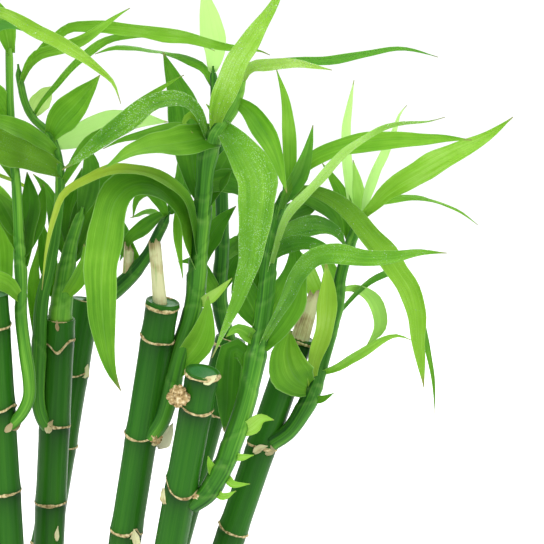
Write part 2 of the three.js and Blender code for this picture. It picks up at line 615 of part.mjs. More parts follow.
const caneBodies = {};
const caneSleeves = {};
for (const letter of Object.keys(canes)) {
  caneBodies[letter] = caneSolid(letter, 0);
  caneSleeves[letter] = caneSolid(letter, seatGap);
}
const allSleeves = fuse(Object.values(caneSleeves));
const stubBodies = {};
let stubSleeves = null;
for (const [letter, stub] of Object.entries(stubs)) {
  const sleeve = stubSolid(stub, seatGap);
  stubSleeves = stubSleeves ? stubSleeves.add(sleeve) : sleeve;
  stubBodies[letter] = stubSolid(stub, 0).subtract(allSleeves);
}
const shootBodies = {};
for (const letter of Object.keys(shoots)) {
  shootBodies[letter] = shootSolid(shoots[letter], 0).subtract(allSleeves).subtract(stubSleeves);
}

const holes = Object.values(caneSleeves);
for (const twin of Object.values(turnedCanes)) {
  holes.push(turned(caneSleeves[twin.like], twin));
}

addNode("pot", potSolid(), potColour, 0.25);
addNode("gravel", gravelSolid(holes), gravelColour, 0.8);
for (const letter of Object.keys(canes)) {
  addNode(`cane_${letter}`, caneBodies[letter], caneColour, 0.4);
}
for (const letter of Object.keys(shoots)) {
  addNode(`shoot_${letter}`, shootBodies[letter], shootColour, 0.45);
}
for (const [letter, body] of Object.entries(stubBodies)) {
  addNode(`stub_${letter}`, body, stubColour, 0.8);
}
for (const [letter, twin] of Object.entries(turnedCanes)) {
  addNode(`cane_${letter}`, turned(caneBodies[twin.like], twin), caneColour, 0.4);
  const shoot = shootSolid(shoots[twin.like], twinSlimmest).subtract(allSleeves).subtract(stubSleeves);
  addNode(`shoot_${letter}`, turned(shoot, twin), shootColour, 0.45);
  if (stubBodies[twin.like]) {
    addNode(`stub_${letter}`, turned(stubBodies[twin.like], twin), stubColour, 0.8);
  }
}

export default plant;
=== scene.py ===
import math

import bpy
import numpy as np
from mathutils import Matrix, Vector


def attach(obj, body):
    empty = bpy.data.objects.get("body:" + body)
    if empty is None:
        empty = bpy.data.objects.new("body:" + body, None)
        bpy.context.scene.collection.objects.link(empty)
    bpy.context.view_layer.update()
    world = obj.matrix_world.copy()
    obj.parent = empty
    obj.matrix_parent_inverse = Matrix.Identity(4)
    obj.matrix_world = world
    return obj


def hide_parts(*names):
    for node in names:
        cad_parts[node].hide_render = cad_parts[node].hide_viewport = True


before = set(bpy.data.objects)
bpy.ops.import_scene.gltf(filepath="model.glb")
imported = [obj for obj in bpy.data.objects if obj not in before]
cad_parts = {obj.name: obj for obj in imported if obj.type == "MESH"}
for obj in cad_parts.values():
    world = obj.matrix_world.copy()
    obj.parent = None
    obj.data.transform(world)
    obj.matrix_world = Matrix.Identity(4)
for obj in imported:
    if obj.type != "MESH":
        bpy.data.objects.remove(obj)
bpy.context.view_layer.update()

# The plant is laid out in millimetres, as it is seen from a standpoint in front of it, and every mesh is
# brought to metres when it is made. A place on the view is [across, down] in steps that are 0.62 mm at the
# aim's distance, and a depth says how far behind the plane y = 0 the place lies.
view = {"step": 0.62, "steps": 544, "middle": 272, "tilt": math.radians(12), "distance": 1250,
        "aim": [146, 0, 452]}
towardViewer = np.array([0, -math.cos(view["tilt"]), math.sin(view["tilt"])])
viewUp = np.array([0, math.sin(view["tilt"]), math.cos(view["tilt"])])
standpoint = np.array(view["aim"], float) + view["distance"] * towardViewer
perMetre = 1000
# Random phases of waves are drawn from 0 up to nearly a full turn.
phaseEnd = 6.28


def place(spots, depths):
    # Ray from the standpoint through each spot of the view, cut off where y reaches its depth.
    spots = np.asarray(spots, float)
    ray = np.tile(-towardViewer, (len(spots), 1))
    ray[:, 0] += (spots[:, 0] - view["middle"]) * view["step"] / view["distance"]
    ray += ((view["middle"] - spots[:, 1]) * view["step"] / view["distance"])[:, None] * viewUp
    reach = (np.broadcast_to(depths, len(spots)) - standpoint[1]) / ray[:, 1]
    return standpoint + ray * reach[:, None]


def sawSpot(points):
    # The spot of the view that each point covers: sideways and upward distance over distance away.
    line = points - standpoint
    scale = view["distance"] / view["step"] / -(line @ towardViewer)
    return np.stack([view["middle"] + line[:, 0] * scale, view["middle"] - (line @ viewUp) * scale], axis=1)


def spotList(text):
    # "19,250 12,226" becomes [[19, 250], [12, 226]]. A third number is a depth.
    return [[float(number) for number in spot.split(",")] for spot in text.split()]


def unit(vectors):
    return vectors / np.maximum(np.linalg.norm(vectors, axis=-1, keepdims=True), 1e-9)


def bell(values, width):
    # A bump of height 1 at zero: e to the power of minus the square of value over width.
    return np.exp(-((values / width) ** 2))


def apart(turn, angle):
    # How far each turn is from an angle, the short way round.
    return (turn - angle + np.pi) % (2 * np.pi) - np.pi


def fullCircle(count, start=-np.pi):
    return np.linspace(start, start + 2 * np.pi, count, endpoint=False)


def spin(points, angle):
    # Turned about the upright axis: x cos - y sin and x sin + y cos.
    x, y, z = points[..., 0], points[..., 1], points[..., 2]
    return np.stack([x * math.cos(angle) - y * math.sin(angle), x * math.sin(angle) + y * math.cos(angle), z],
                    axis=-1)


def ballGrid(rows, columns, pole):
    # A ball of radius 1 in level rings, the first and the last one a small angle from the poles.
    rise, turn = np.linspace(pole, np.pi - pole, rows), fullCircle(columns, 0)
    return np.stack([np.outer(np.sin(rise), np.cos(turn)), np.outer(np.sin(rise), np.sin(turn)),
                     np.outer(np.cos(rise), np.ones(columns))], axis=-1)


def outwards(along, turn):
    # Directions square to a line: side times sin turn plus front times cos turn. Side is level on the view.
    side = unit(np.cross(along, towardViewer))
    front = np.cross(side, along)
    return side[..., None, :] * np.sin(turn)[:, None] + front[..., None, :] * np.cos(turn)[:, None]


def barkPlace(turn, radius, down):
    # Where the grain lies on a round piece: [radius sin turn, radius cos turn, way along], in metres.
    down = np.broadcast_to(down, (len(down), len(turn)))
    return np.stack([np.broadcast_to(radius * wave(turn), down.shape) for wave in (np.sin, np.cos)] + [down],
                    axis=-1) / perMetre


def smoothLine(corners, count):
    # Smooth curve through the corners, a cubic per stretch whose pull is the root of its length,
    # then points at equal distances along it, or at the given shares of its length.
    corners = np.asarray(corners, float)
    ends = np.vstack([2 * corners[0] - corners[1], corners, 2 * corners[-1] - corners[-2]])
    a, b, c, d = ends[:-3], ends[1:-2], ends[2:-1], ends[3:]
    gapA, gapB, gapC = (np.maximum(np.sqrt(np.linalg.norm(after - before, axis=1)), 1e-4)[:, None]
                        for before, after in ((a, b), (b, c), (c, d)))
    start = ((b - a) / gapA - (c - a) / (gapA + gapB) + (c - b) / gapB) * gapB
    end = ((c - b) / gapB - (d - b) / (gapB + gapC) + (d - c) / gapC) * gapB
    u = np.linspace(0, 1, 25)[:-1][None, :, None]
    b, c, start, end = b[:, None], c[:, None], start[:, None], end[:, None]
    curve = b + start * u + (-3 * b + 3 * c - 2 * start - end) * u**2 + (2 * b - 2 * c + start + end) * u**3
    curve = np.vstack([curve.reshape(-1, 3), corners[-1:]])
    run = np.concatenate([[0], np.cumsum(np.linalg.norm(np.diff(curve, axis=0), axis=1))])
    stops = np.linspace(0, run[-1], count) if np.isscalar(count) else np.asarray(count) * run[-1]
    return np.stack([np.interp(stops, run, curve[:, k]) for k in range(3)], axis=1), run[-1]


def spread(values, t):
    # Values at equal steps from base to tip, read off at t.
    values = np.atleast_1d(np.asarray(values, float))
    return np.interp(t, np.linspace(0, 1, len(values)), values)


def sines(turn, start, waves, phases):
    # Start plus a sine wave for each [height, number of waves in a full turn], with its phase.
    for (high, number), phase in zip(waves, phases):
        start = start + high * np.sin(number * turn + phase)
    return start


def ripple(points, size, seed):
    # Smooth unevenness from about -1 to 1: the mean of seven sine waves in random directions.
    draw = np.random.default_rng(seed)
    waves = unit(draw.normal(size=(7, 3))) * draw.uniform(0.6, 1.6, (7, 1)) * 2 * np.pi / size
    return np.sin(points @ waves.T + draw.uniform(0, phaseEnd, 7)).mean(axis=-1) * 1.8


# Parts and pieces

def gridPart(grid, values, material=0):
    # A closed skin over a grid of points: four-sided faces between rows, one flat face at each end,
    # turned over if its volume comes out below zero. The volume sums a . (b x c) over the faces' halves.
    rows, columns = grid.shape[:2]
    index = np.arange(rows * columns).reshape(rows, columns)
    after = np.roll(index, -1, axis=1)
    quads = np.stack([index[:-1], after[:-1], after[1:], index[1:]], axis=-1).reshape(-1, 4)
    ends = [index[0, ::-1].tolist(), index[-1].tolist()]
    points = grid.reshape(-1, 3)
    local = points - points.mean(axis=0)
    a, b, c, d = (local[quads[:, corner]] for corner in range(4))
    if (a * (np.cross(b, c) + np.cross(c, d))).sum() < 0:
        quads = quads[:, ::-1]
        ends = [end[::-1] for end in ends]
    flat = {name: np.broadcast_to(value, (rows, columns) + np.shape(value)[2:]).reshape(rows * columns, -1)
            for name, value in values.items()}
    return {"points": points, "faces": quads.tolist() + ends, "values": flat, "material": material}


def makePiece(name, parts, materials, nodes=(), twin=None):
    points = np.concatenate([part["points"] for part in parts])
    if twin:
        points = turned(points, twin)
    faces, owner, start = [], [], 0
    for part in parts:
        faces += [[corner + start for corner in face] for face in part["faces"]]
        owner += [part["material"]] * len(part["faces"])
        start += len(part["points"])
    mesh = bpy.data.meshes.new(name)
    mesh.from_pydata((points / perMetre).tolist(), [], faces)
    mesh.polygons.foreach_set("material_index", owner)
    mesh.polygons.foreach_set("use_smooth", [True] * len(faces))
    for key in sorted({key for part in parts for key in part["values"]}):
        # A place has three numbers a point, and any other value one.
        wide, kind, field = (3, "FLOAT_VECTOR", "vector") if key.endswith("Place") else (1, "FLOAT", "value")
        rows = [part["values"].get(key, np.zeros((len(part["points"]), wide))) for part in parts]
        mesh.attributes.new(key, kind, "POINT").data.foreach_set(field, np.concatenate(rows).ravel())
    for material in materials:
        mesh.materials.append(material)
    mesh.update()
    piece = bpy.data.objects.new(name, mesh)
    bpy.context.scene.collection.objects.link(piece)
    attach(piece, "root")
    if nodes:
        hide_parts(*nodes)


# Material helpers

class Wiring:
    # Short names for the nodes of one tree. An input is a number, a colour of three numbers or the output of
    # another node, and i0, i1 and so on name a socket by its number.

    def __init__(self, tree):
        self.tree = tree

    def feed(self, target, **inputs):
        for key, value in inputs.items():
            socket = target.inputs[int(key[1:]) if key[1:].isdigit() else key.replace("_", " ")]
            if isinstance(value, bpy.types.NodeSocket):
                self.tree.links.new(value, socket)
            else:
                socket.default_value = (*value, 1) if isinstance(value, tuple) else value

    def node(self, kind, settings=(), **inputs):
        made = self.tree.nodes.new("ShaderNode" + kind)
        for key, value in dict(settings).items():
            setattr(made, key, value)
        self.feed(made, **inputs)
        return made

    def calc(self, operation, first, second, third=0.0):
        return self.node("Math", {"operation": operation}, i0=first, i1=second, i2=third).outputs[0]

    def times(self, first, second):
        return self.calc("MULTIPLY", first, second)

    def added(self, value, extra, weight):
        return self.calc("MULTIPLY_ADD", extra, weight, value)

    def sway(self, value, clouds, weights):
        # Value plus, for each cloud, its step above or below 0.5 times its weight.
        for cloud, weight in zip(clouds, weights):
            value = self.added(value, self.calc("SUBTRACT", cloud, 0.5), weight)
        return value

    def mix(self, share, first, second):
        return self.node("Mix", {"data_type": "RGBA"}, i0=share, i6=first, i7=second).outputs[2]

    def ramp(self, value, stops):
        made = self.node("ValToRGB", i0=value)
        band = made.color_ramp.elements
        while len(band) < len(stops):
            band.new(0.5)
        for element, (spot, colour) in zip(band, stops):
            element.position = spot
            element.color = (*colour, 1)
        return made.outputs[0]

    def fade(self, value, low, high, start=0.0, end=1.0):
        # From start to end in a smooth step, as the value goes from low to high.
        made = self.node("MapRange", {"interpolation_type": "SMOOTHSTEP"}, i0=value, i1=low, i2=high)
        self.feed(made, i3=start, i4=end)
        return made.outputs[0]

    def point(self, name, field="Fac"):
        return self.node("Attribute", {"attribute_name": name}).outputs[field]

    def object(self):
        return self.node("TexCoord").outputs["Object"]

    def noise(self, spot, scale, detail, **more):
        return self.node("TexNoise", Vector=spot, Scale=scale, Detail=detail, **more).outputs[0]

    def cells(self, spot, scale):
        return self.node("TexVoronoi", Vector=spot, Scale=scale).outputs["Distance"]

    def grain(self, spot, across, along, broad):
        return self.node("Group", {"node_tree": grainGroup}, Place=spot, Across=across, Along=along,
                         Broad=broad).outputs

    def finish(self, shader, colour, roughness, height, bump, **more):
        # Bump is its strength and the depth in metres of the height's full range.
        relief = self.node("Bump", Strength=bump[0], Distance=bump[1], Height=height).outputs[0]
        self.feed(shader, Base_Color=colour, Roughness=roughness, Normal=relief, **more)


def newMaterial(name):
    material = bpy.data.materials.new(name)
    material.use_nodes = True
    return material, Wiring(material.node_tree), material.node_tree.nodes["Principled BSDF"]


def buildGrain():
    # Long fibres: noise squeezed across the piece and drawn out along it, in a fine and a broad size.
    group = bpy.data.node_groups.new("fibreGrain", "ShaderNodeTree")
    wire = Wiring(group)
    group.interface.new_socket("Place", in_out="INPUT", socket_type="NodeSocketVector")
    for name, start in (("Across", 1500.0), ("Along", 20.0), ("Broad", 260.0)):
        group.interface.new_socket(name, in_out="INPUT", socket_type="NodeSocketFloat").default_value = start
    for name in ("Fine", "Wide", "Height"):
        group.interface.new_socket(name, in_out="OUTPUT", socket_type="NodeSocketFloat")
    given = group.nodes.new("NodeGroupInput").outputs
    clouds = []
    for across in ("Across", "Broad"):
        scale = wire.node("CombineXYZ", i0=given[across], i1=given[across], i2=given["Along"]).outputs[0]
        spot = wire.node("VectorMath", {"operation": "MULTIPLY"}, i0=given["Place"], i1=scale).outputs[0]
        clouds.append(wire.noise(spot, 1.0, 3.0))
    wire.feed(group.nodes.new("NodeGroupOutput"), Fine=clouds[0], Wide=clouds[1],
              Height=wire.added(clouds[0], clouds[1], 0.5))
    return group


grainGroup = buildGrain()

# Each finish gives linear colours, and for a ramp the place of each one. Grain is the number of waves in a
# metre across the fibres, along them, and across the broad ones. Weights say how much each cloud sways the
# ramp, and mottle, crumb, blot, clouds, cells and specks are the number of spots in a metre. A name that
# ends with Fade holds the two values between which a share goes from 0 to 1, or from the third number to
# the fourth.
# Leaf ramp: deep green, a green in painted shade, middle green, a green with painted light, young
# yellow-green.
leafFinish = {
    "colours": [(0.0, (0.016, 0.095, 0.004)), (0.25, (0.052, 0.205, 0.01)), (0.5, (0.145, 0.37, 0.022)),
                (0.75, (0.27, 0.54, 0.05)), (1.0, (0.5, 0.74, 0.2))],
    "glow": [(0.0, (0.16, 0.46, 0.008)), (0.5, (0.36, 0.7, 0.02)), (1.0, (0.56, 0.88, 0.12))],
    "olive": (0.42, 0.38, 0.03), "bluish": (0.05, 0.3, 0.09), "pale": (0.6, 0.86, 0.36),
    "paleGlow": (0.7, 0.98, 0.4), "margin": (0.42, 0.66, 0.24), "dry": (0.34, 0.27, 0.12),
    "mistGlint": (0.66, 0.86, 0.56), "grain": (3400, 24, 640), "mottle": 48, "specks": 1100,
    "weights": (0.5, 0.65, 0.4), "bump": (0.5, 0.0005), "roughness": 0.46, "roughSway": 0.25,
    "specular": 0.15, "through": 0.36, "oliveShare": 0.6, "bluishFade": (0.0, -1.0, 0.0, 0.55),
    "paleShare": 0.75, "ribFade": (0.07, 0.0, 0.0, 0.1), "marginHighlightFade": (0.93, 0.985, 0.0, 0.42),
    "tipSway": 0.08, "tipFade": (0.985, 1.03, 0.0, 0.85), "denseFade": (0.38, 0.58, 0.15, 0.8),
    "speckFade": (0.4, 0.2),
}


def makeLeafMaterial():
    look = leafFinish
    material, wire, shader = newMaterial("leafBlade")
    spot = wire.point("grainPlace", "Vector")
    fine, wide, height = wire.grain(spot, *look["grain"])
    mottle = wire.noise(spot, look["mottle"], 4.0)
    tint, warm, pale, away, wet = (wire.point(name) for name in ("tint", "warm", "pale", "ribAway", "wet"))
    # Tint picks the leaf's colour, painted shade and painted light included.
    colour = wire.ramp(wire.sway(tint, (mottle, fine, wide), look["weights"]), look["colours"])
    colour = wire.mix(wire.times(wire.fade(warm, 0.0, 1.0), look["oliveShare"]), colour, look["olive"])
    colour = wire.mix(wire.fade(warm, *look["bluishFade"]), colour, look["bluish"])
    # Pale paints the light that shines through the leaf into its colour.
    colour = wire.mix(wire.times(pale, look["paleShare"]), colour, look["pale"])
    # A lighter line along the rib, which is its own paler colour, and a painted highlight along both margins,
    # and a dry tip.
    colour = wire.mix(wire.fade(away, *look["ribFade"]), colour, look["margin"])
    colour = wire.mix(wire.fade(away, *look["marginHighlightFade"]), colour, look["margin"])
    tip = wire.added(wire.point("leafAlong"), mottle, look["tipSway"])
    colour = wire.mix(wire.fade(tip, *look["tipFade"]), colour, look["dry"])
    # Wet leaves carry a mist of fine water beads, whose glints are painted as pale specks: a pale speck round
    # each random cell's middle, in the clouds' denser places.
    dense = wire.times(wet, wire.fade(mottle, *look["denseFade"]))
    mistGlint = wire.times(wire.fade(wire.cells(spot, look["specks"]), *look["speckFade"]), dense)
    colour = wire.mix(mistGlint, colour, look["mistGlint"])
    rough = wire.sway(look["roughness"], [mottle], [look["roughSway"]])
    wire.finish(shader, colour, rough, height, look["bump"], Specular_IOR_Level=look["specular"])
    glow = wire.mix(pale, wire.ramp(tint, look["glow"]), look["paleGlow"])
    through = wire.node("BsdfTranslucent", Color=glow)
    both = wire.node("MixShader", i0=look["through"], i1=shader.outputs[0], i2=through.outputs[0])
    wire.feed(material.node_tree.nodes["Material Output"], Surface=both.outputs[0])
    return material


stemFinish = {
    "colours": [(0.1, (0.008, 0.065, 0.005)), (0.45, (0.048, 0.2, 0.013)), (0.85, (0.18, 0.43, 0.04))],
    "sheath": (0.3, 0.5, 0.12), "shadow": (0.008, 0.065, 0.005), "grain": (1300, 12, 260),
    "weights": (0.75, 1.1), "bump": (0.3, 0.0004), "roughness": 0.42, "specular": 0.15, "sheathShare": 0.1,
    "shadowFade": (-0.1, -0.9), "shadowShare": 0.22,
}


def makeStemMaterial():
    look = stemFinish
    material, wire, shader = newMaterial("stemSheath")
    fine, wide, height = wire.grain(wire.point("grainPlace", "Vector"), *look["grain"])
    colour = wire.ramp(wire.sway(wire.point("tint"), (fine, wide), look["weights"]), look["colours"])
    edge = wire.point("sheathEdge")
    colour = wire.mix(wire.times(edge, look["sheathShare"]), colour, look["sheath"])
    shadow = wire.times(wire.fade(edge, *look["shadowFade"]), look["shadowShare"])
    colour = wire.mix(shadow, colour, look["shadow"])
    wire.finish(shader, colour, look["roughness"], height, look["bump"], Specular_IOR_Level=look["specular"])
    return material


caneFinish = {
    "colours": [(0.15, (0.008, 0.06, 0.004)), (0.5, (0.018, 0.11, 0.006)), (0.95, (0.047, 0.178, 0.011))],
    "paper": [(0.36, (0.17, 0.12, 0.045)), (0.55, (0.5, 0.41, 0.2)), (0.75, (0.72, 0.64, 0.42))],
    "shade": (0.003, 0.02, 0.004), "disc": (0.04, 0.18, 0.05), "grain": (1100, 9, 150), "crumb": 520,
    "weights": (0.5, 0.55), "bump": (0.4, 0.0005), "roughness": 0.34, "specular": 0.08, "coat": (0.07, 0.15),
    "shadeShare": 0.9, "ringSway": 0.7, "ringFade": (0.38, 0.6), "ringCrumb": 2.5, "ringRough": 0.45,
}


def makeCaneMaterial():
    look = caneFinish
    material, wire, shader = newMaterial("caneSkin")
    spot = wire.point("grainPlace", "Vector")
    fine, wide, height = wire.grain(spot, *look["grain"])
    colour = wire.ramp(wire.sway(0.5, (fine, wide), look["weights"]), look["colours"])
    colour = wire.mix(wire.times(wire.point("ringShade"), look["shadeShare"]), colour, look["shade"])
    colour = wire.mix(wire.point("topDisc"), colour, look["disc"])
    crumb = wire.noise(spot, look["crumb"], 4.0)
    ring = wire.fade(wire.sway(wire.point("ringBand"), [crumb], [look["ringSway"]]), *look["ringFade"])
    colour = wire.mix(ring, colour, wire.ramp(crumb, look["paper"]))
    height = wire.added(height, wire.times(crumb, ring), look["ringCrumb"])
    rough = wire.added(look["roughness"], ring, look["ringRough"])
    wire.finish(shader, colour, rough, height, look["bump"], Specular_IOR_Level=look["specular"])
    wire.feed(shader, Coat_Weight=look["coat"][0], Coat_Roughness=look["coat"][1])
    return material


paperFinish = {
    "colours": [(0.22, (0.22, 0.15, 0.06)), (0.38, (0.46, 0.4, 0.19)), (0.52, (0.6, 0.6, 0.33))],
    "green": (0.1, 0.28, 0.03), "brown": (0.22, 0.15, 0.06), "cream": (0.82, 0.8, 0.58),
    "grain": (1600, 40, 380), "blot": 95, "bump": (0.7, 0.0006), "roughness": 0.75, "fineSway": 0.5,
    "greenSway": 0.8, "greenFade": (0.55, 0.9), "brownFade": (0.0, 1.0, 0.0, 0.8),
    "creamFade": (0.0, -1.0, 0.0, 0.8),
}


def makePaperMaterial():
    look = paperFinish
    material, wire, shader = newMaterial("dryPaper")
    spot = wire.point("grainPlace", "Vector")
    fine, wide, height = wire.grain(spot, *look["grain"])
    blots = wire.sway(wire.noise(spot, look["blot"], 5.0), [fine], [look["fineSway"]])
    colour = wire.ramp(blots, look["colours"])
    fresh = wire.fade(wire.added(wire.point("tint"), wide, look["greenSway"]), *look["greenFade"])
    colour = wire.mix(fresh, colour, look["green"])
    warm = wire.point("warm")
    colour = wire.mix(wire.fade(warm, *look["brownFade"]), colour, look["brown"])
    colour = wire.mix(wire.fade(warm, *look["creamFade"]), colour, look["cream"])
    wire.finish(shader, colour, look["roughness"], height, look["bump"])
    return material


corkFinish = {
    "colours": [(0.48, (0.09, 0.06, 0.015)), (0.66, (0.36, 0.24, 0.09)), (0.84, (0.5, 0.37, 0.17)),
                (0.98, (0.74, 0.63, 0.38))],
    "crumb": 420, "crumbRough": 0.65, "cells": 560, "cellWeight": 0.5, "bump": (0.8, 0.001),
    "roughness": 0.85,
}


def makeCorkMaterial():
    look = corkFinish
    material, wire, shader = newMaterial("corkLump")
    spot = wire.object()
    crumb = wire.noise(spot, look["crumb"], 5.0, Roughness=look["crumbRough"])
    height = wire.added(crumb, wire.cells(spot, look["cells"]), look["cellWeight"])
    wire.finish(shader, wire.ramp(height, look["colours"]), look["roughness"], height, look["bump"])
    return material


potFinish = {
    "colours": [(0.3, (0.36, 0.3, 0.22)), (0.7, (0.48, 0.42, 0.33))], "speck": (0.2, 0.14, 0.08),
    "bare": (0.3, 0.17, 0.09), "bareTo": 0.0045, "clouds": 14, "specks": 650, "bump": (0.12, 0.002),
    "coat": (0.5, 0.06), "speckFade": (0.67, 0.73, 0.0, 0.7), "bareSway": 0.002, "bareBlur": 0.0003,
    "roughness": 0.1, "cloudRough": 0.12, "bareRough": 0.6,
}


def makePotMaterial():
    # Glaze with fine dark specks, and a bare clay foot whose edge wanders with the clouds.
    look = potFinish
    material, wire, shader = newMaterial("potGlaze")
    spot = wire.object()
    cloud, specks = wire.noise(spot, look["clouds"], 4.0), wire.noise(spot, look["specks"], 2.0)
    colour = wire.ramp(cloud, look["colours"])
    colour = wire.mix(wire.fade(specks, *look["speckFade"]), colour, look["speck"])
    height = wire.added(wire.node("SeparateXYZ", i0=spot).outputs[2], cloud, look["bareSway"])
    edge, blur = look["bareTo"], look["bareBlur"]
    bare = wire.fade(height, edge - blur, edge + blur, 1.0, 0.0)
    rough = wire.added(look["roughness"], cloud, look["cloudRough"])
    rough = wire.added(rough, bare, look["bareRough"])
    wire.finish(shader, wire.mix(bare, colour, look["bare"]), rough, cloud, look["bump"],
                Coat_Weight=look["coat"][0], Coat_Roughness=look["coat"][1])
    return material


gravelFinish = {
    "colours": [(0.1, (0.1, 0.085, 0.07)), (0.35, (0.33, 0.27, 0.2)), (0.6, (0.55, 0.48, 0.39)),
                (0.9, (0.8, 0.76, 0.69))],
    "crumb": 480, "weight": 0.35, "bump": (0.4, 0.0006), "roughness": 0.62,
}


def makeGravelMaterial():
    look = gravelFinish
    material, wire, shader = newMaterial("riverGravel")
    crumb = wire.noise(wire.object(), look["crumb"], 5.0)
    colour = wire.ramp(wire.sway(wire.point("tint"), [crumb], [look["weight"]]), look["colours"])
    wire.finish(shader, colour, look["roughness"], crumb, look["bump"])
    return material


dropFinish = {"Base_Color": (0.8, 1, 0.62), "Roughness": 0.08, "IOR": 1.33, "Transmission_Weight": 0.5}


def makeDropMaterial():
    material, wire, shader = newMaterial("waterDrop")
    wire.feed(shader, **dropFinish)
    return material


leafBlade = makeLeafMaterial()
stemSheath = makeStemMaterial()
caneSkin = makeCaneMaterial()
dryPaper = makePaperMaterial()
corkLump = makeCorkMaterial()
potGlaze = makePotMaterial()
riverGravel = makeGravelMaterial()
waterDrop = makeDropMaterial()
print("materials made")

# Pot and gravel. The wall turns out into a lip between the heights lipFrom and lipTo, and on its inside
# from insideFrom on. The pot stands on a ring, and its heel is the way out and up from the ring to the wall.
# The canes' feet are in the gravel at the height caneFoot.
potShape = {
    "height": 102, "rimRadius": 78, "footRadius": 60, "wall": 5, "floor": 6, "gravelTop": 90, "caneFoot": 58,
    "lip": 4, "lipFrom": 88, "lipTo": 91.5, "insideFrom": 84, "ringHeight": 0.6, "ringWidth": 6,
    "heel": [3, 4], "rounding": 2.4, "columns": 120, "bedColumns": 72,
}


def lathePart(profile, columns, values, unevenness=0.0):
    # A profile of [radius, height] spun about the pot's axis, with its ends closed on the axis. Unevenness
    # ripples the part of it that lies near the top of the gravel.
    profile = np.asarray(profile, float)
    turn = fullCircle(columns, 0)
    radius = np.maximum(profile[:, :1], 0.05)
    height = np.broadcast_to(profile[:, 1:], (len(profile), columns))
    grid = np.stack([radius * np.cos(turn), radius * np.sin(turn), height], axis=-1)
    if unevenness:
        grid[..., 2] += unevenness * ripple(grid, 9.0, 5) * (profile[:, 1:] > potShape["gravelTop"] - 5)
    return gridPart(grid, values)


def roundedProfile(corners, rounding, steps=5):
    # Each corner becomes a short curve from back to ahead: their mean with the corner, in which back weighs
    # (1 - u) squared, the corner 2 u (1 - u) and ahead u squared.
    corners = [np.array(corner, float) for corner in corners]
    out = [corners[0]]
    for before, corner, after in zip(corners, corners[1:], corners[2:]):
        back, ahead = (corner + unit(other - corner) * min(rounding, np.linalg.norm(other - corner) * 0.45)
                       for other in (before, after))
        for u in np.linspace(0, 1, steps):
            out.append((1 - u) ** 2 * back + 2 * u * (1 - u) * corner + u**2 * ahead)
    return out + [corners[-1]]


def makePot():
    rim, foot, wall, floor = (potShape[key] for key in ("rimRadius", "footRadius", "wall", "floor"))
    lip, up, top = potShape["lip"], potShape["ringHeight"], potShape["height"] - 0.5
    ringIn, (heelOut, heelUp) = foot - potShape["ringWidth"], potShape["heel"]
    outside = [[0, up], [ringIn - 1, up], [ringIn, 0], [foot, 0], [foot + heelOut, heelUp],
               [rim - lip, potShape["lipFrom"]], [rim, potShape["lipTo"]], [rim, top]]
    inside = [[rim - wall, top], [rim - lip - wall, potShape["insideFrom"]],
              [foot + heelOut - wall, floor + 2], [foot - wall, floor], [0, floor]]
    body = lathePart(roundedProfile(outside + inside, potShape["rounding"]), potShape["columns"], {})
    makePiece("potBody", [body], [potGlaze], ["pot"])


gravelLook = {
    "pebbles": 520, "turn": 2.39996, "turnSway": 0.1, "spread": 66, "sunk": 3, "rise": [-1.5, 2.2],
    "size": [2.6, 5.2], "clear": 0.8, "stretch": [0.75, 1.15], "flat": 0.72, "dent": 0.12, "dentSize": 2.4,
    "tints": [0.1, 0.95], "bedTint": 0.25, "bedRipple": 0.8, "seed": 11,
}


def makeGravel(caneSpots):
    # A bed with single pebbles on a sunflower spiral: each one stands a golden turn, in radians, round from
    # the last, at a radius that grows with the root of its number. Those too near a cane are left out.
    look = gravelLook
    top, wall, floor = potShape["gravelTop"], potShape["wall"], potShape["floor"]
    foot, rim = potShape["footRadius"] - wall, potShape["rimRadius"] - wall
    bed = [[0, floor + 0.3], [foot - 0.6, floor + 0.3], [foot + 2.5, floor + 2.4],
           [rim - 4.5, potShape["insideFrom"]], [rim - 6, top - 3.4]]
    bed += [[radius, top - 3.6] for radius in np.linspace(rim - 8, 0, 16)]
    parts = [lathePart(bed, potShape["bedColumns"], {"tint": look["bedTint"]}, look["bedRipple"])]
    draw = np.random.default_rng(look["seed"])
    count = look["pebbles"]
    radius = look["spread"] * np.sqrt((np.arange(count) + 0.5) / count)
    angle = np.arange(count) * look["turn"] + draw.uniform(-look["turnSway"], look["turnSway"], count)
    height = top - look["sunk"] + draw.uniform(*look["rise"], count)
    middle = np.stack([radius * np.cos(angle), radius * np.sin(angle), height], 1)
    size = draw.uniform(*look["size"], count)
    gap = np.linalg.norm(middle[:, None, :2] - caneSpots[None, :, :2], axis=2).min(axis=1)
    keep = gap > caneLook["radius"] + size * look["clear"]
    ball = ballGrid(6, 9, 0.12)
    for spot, wide, seed in zip(middle[keep], size[keep], range(count)):
        axes = draw.uniform(*look["stretch"], 3) * wide * np.array([1, 1, look["flat"]])
        lean = draw.uniform(0, np.pi)
        stone = ball * axes * (1 + look["dent"] * ripple(ball, look["dentSize"], seed)[..., None])
        parts.append(gridPart(spin(stone, lean) + spot, {"tint": draw.uniform(*look["tints"])}))
    makePiece("gravelBed", parts, [riverGravel], ["gravel"])


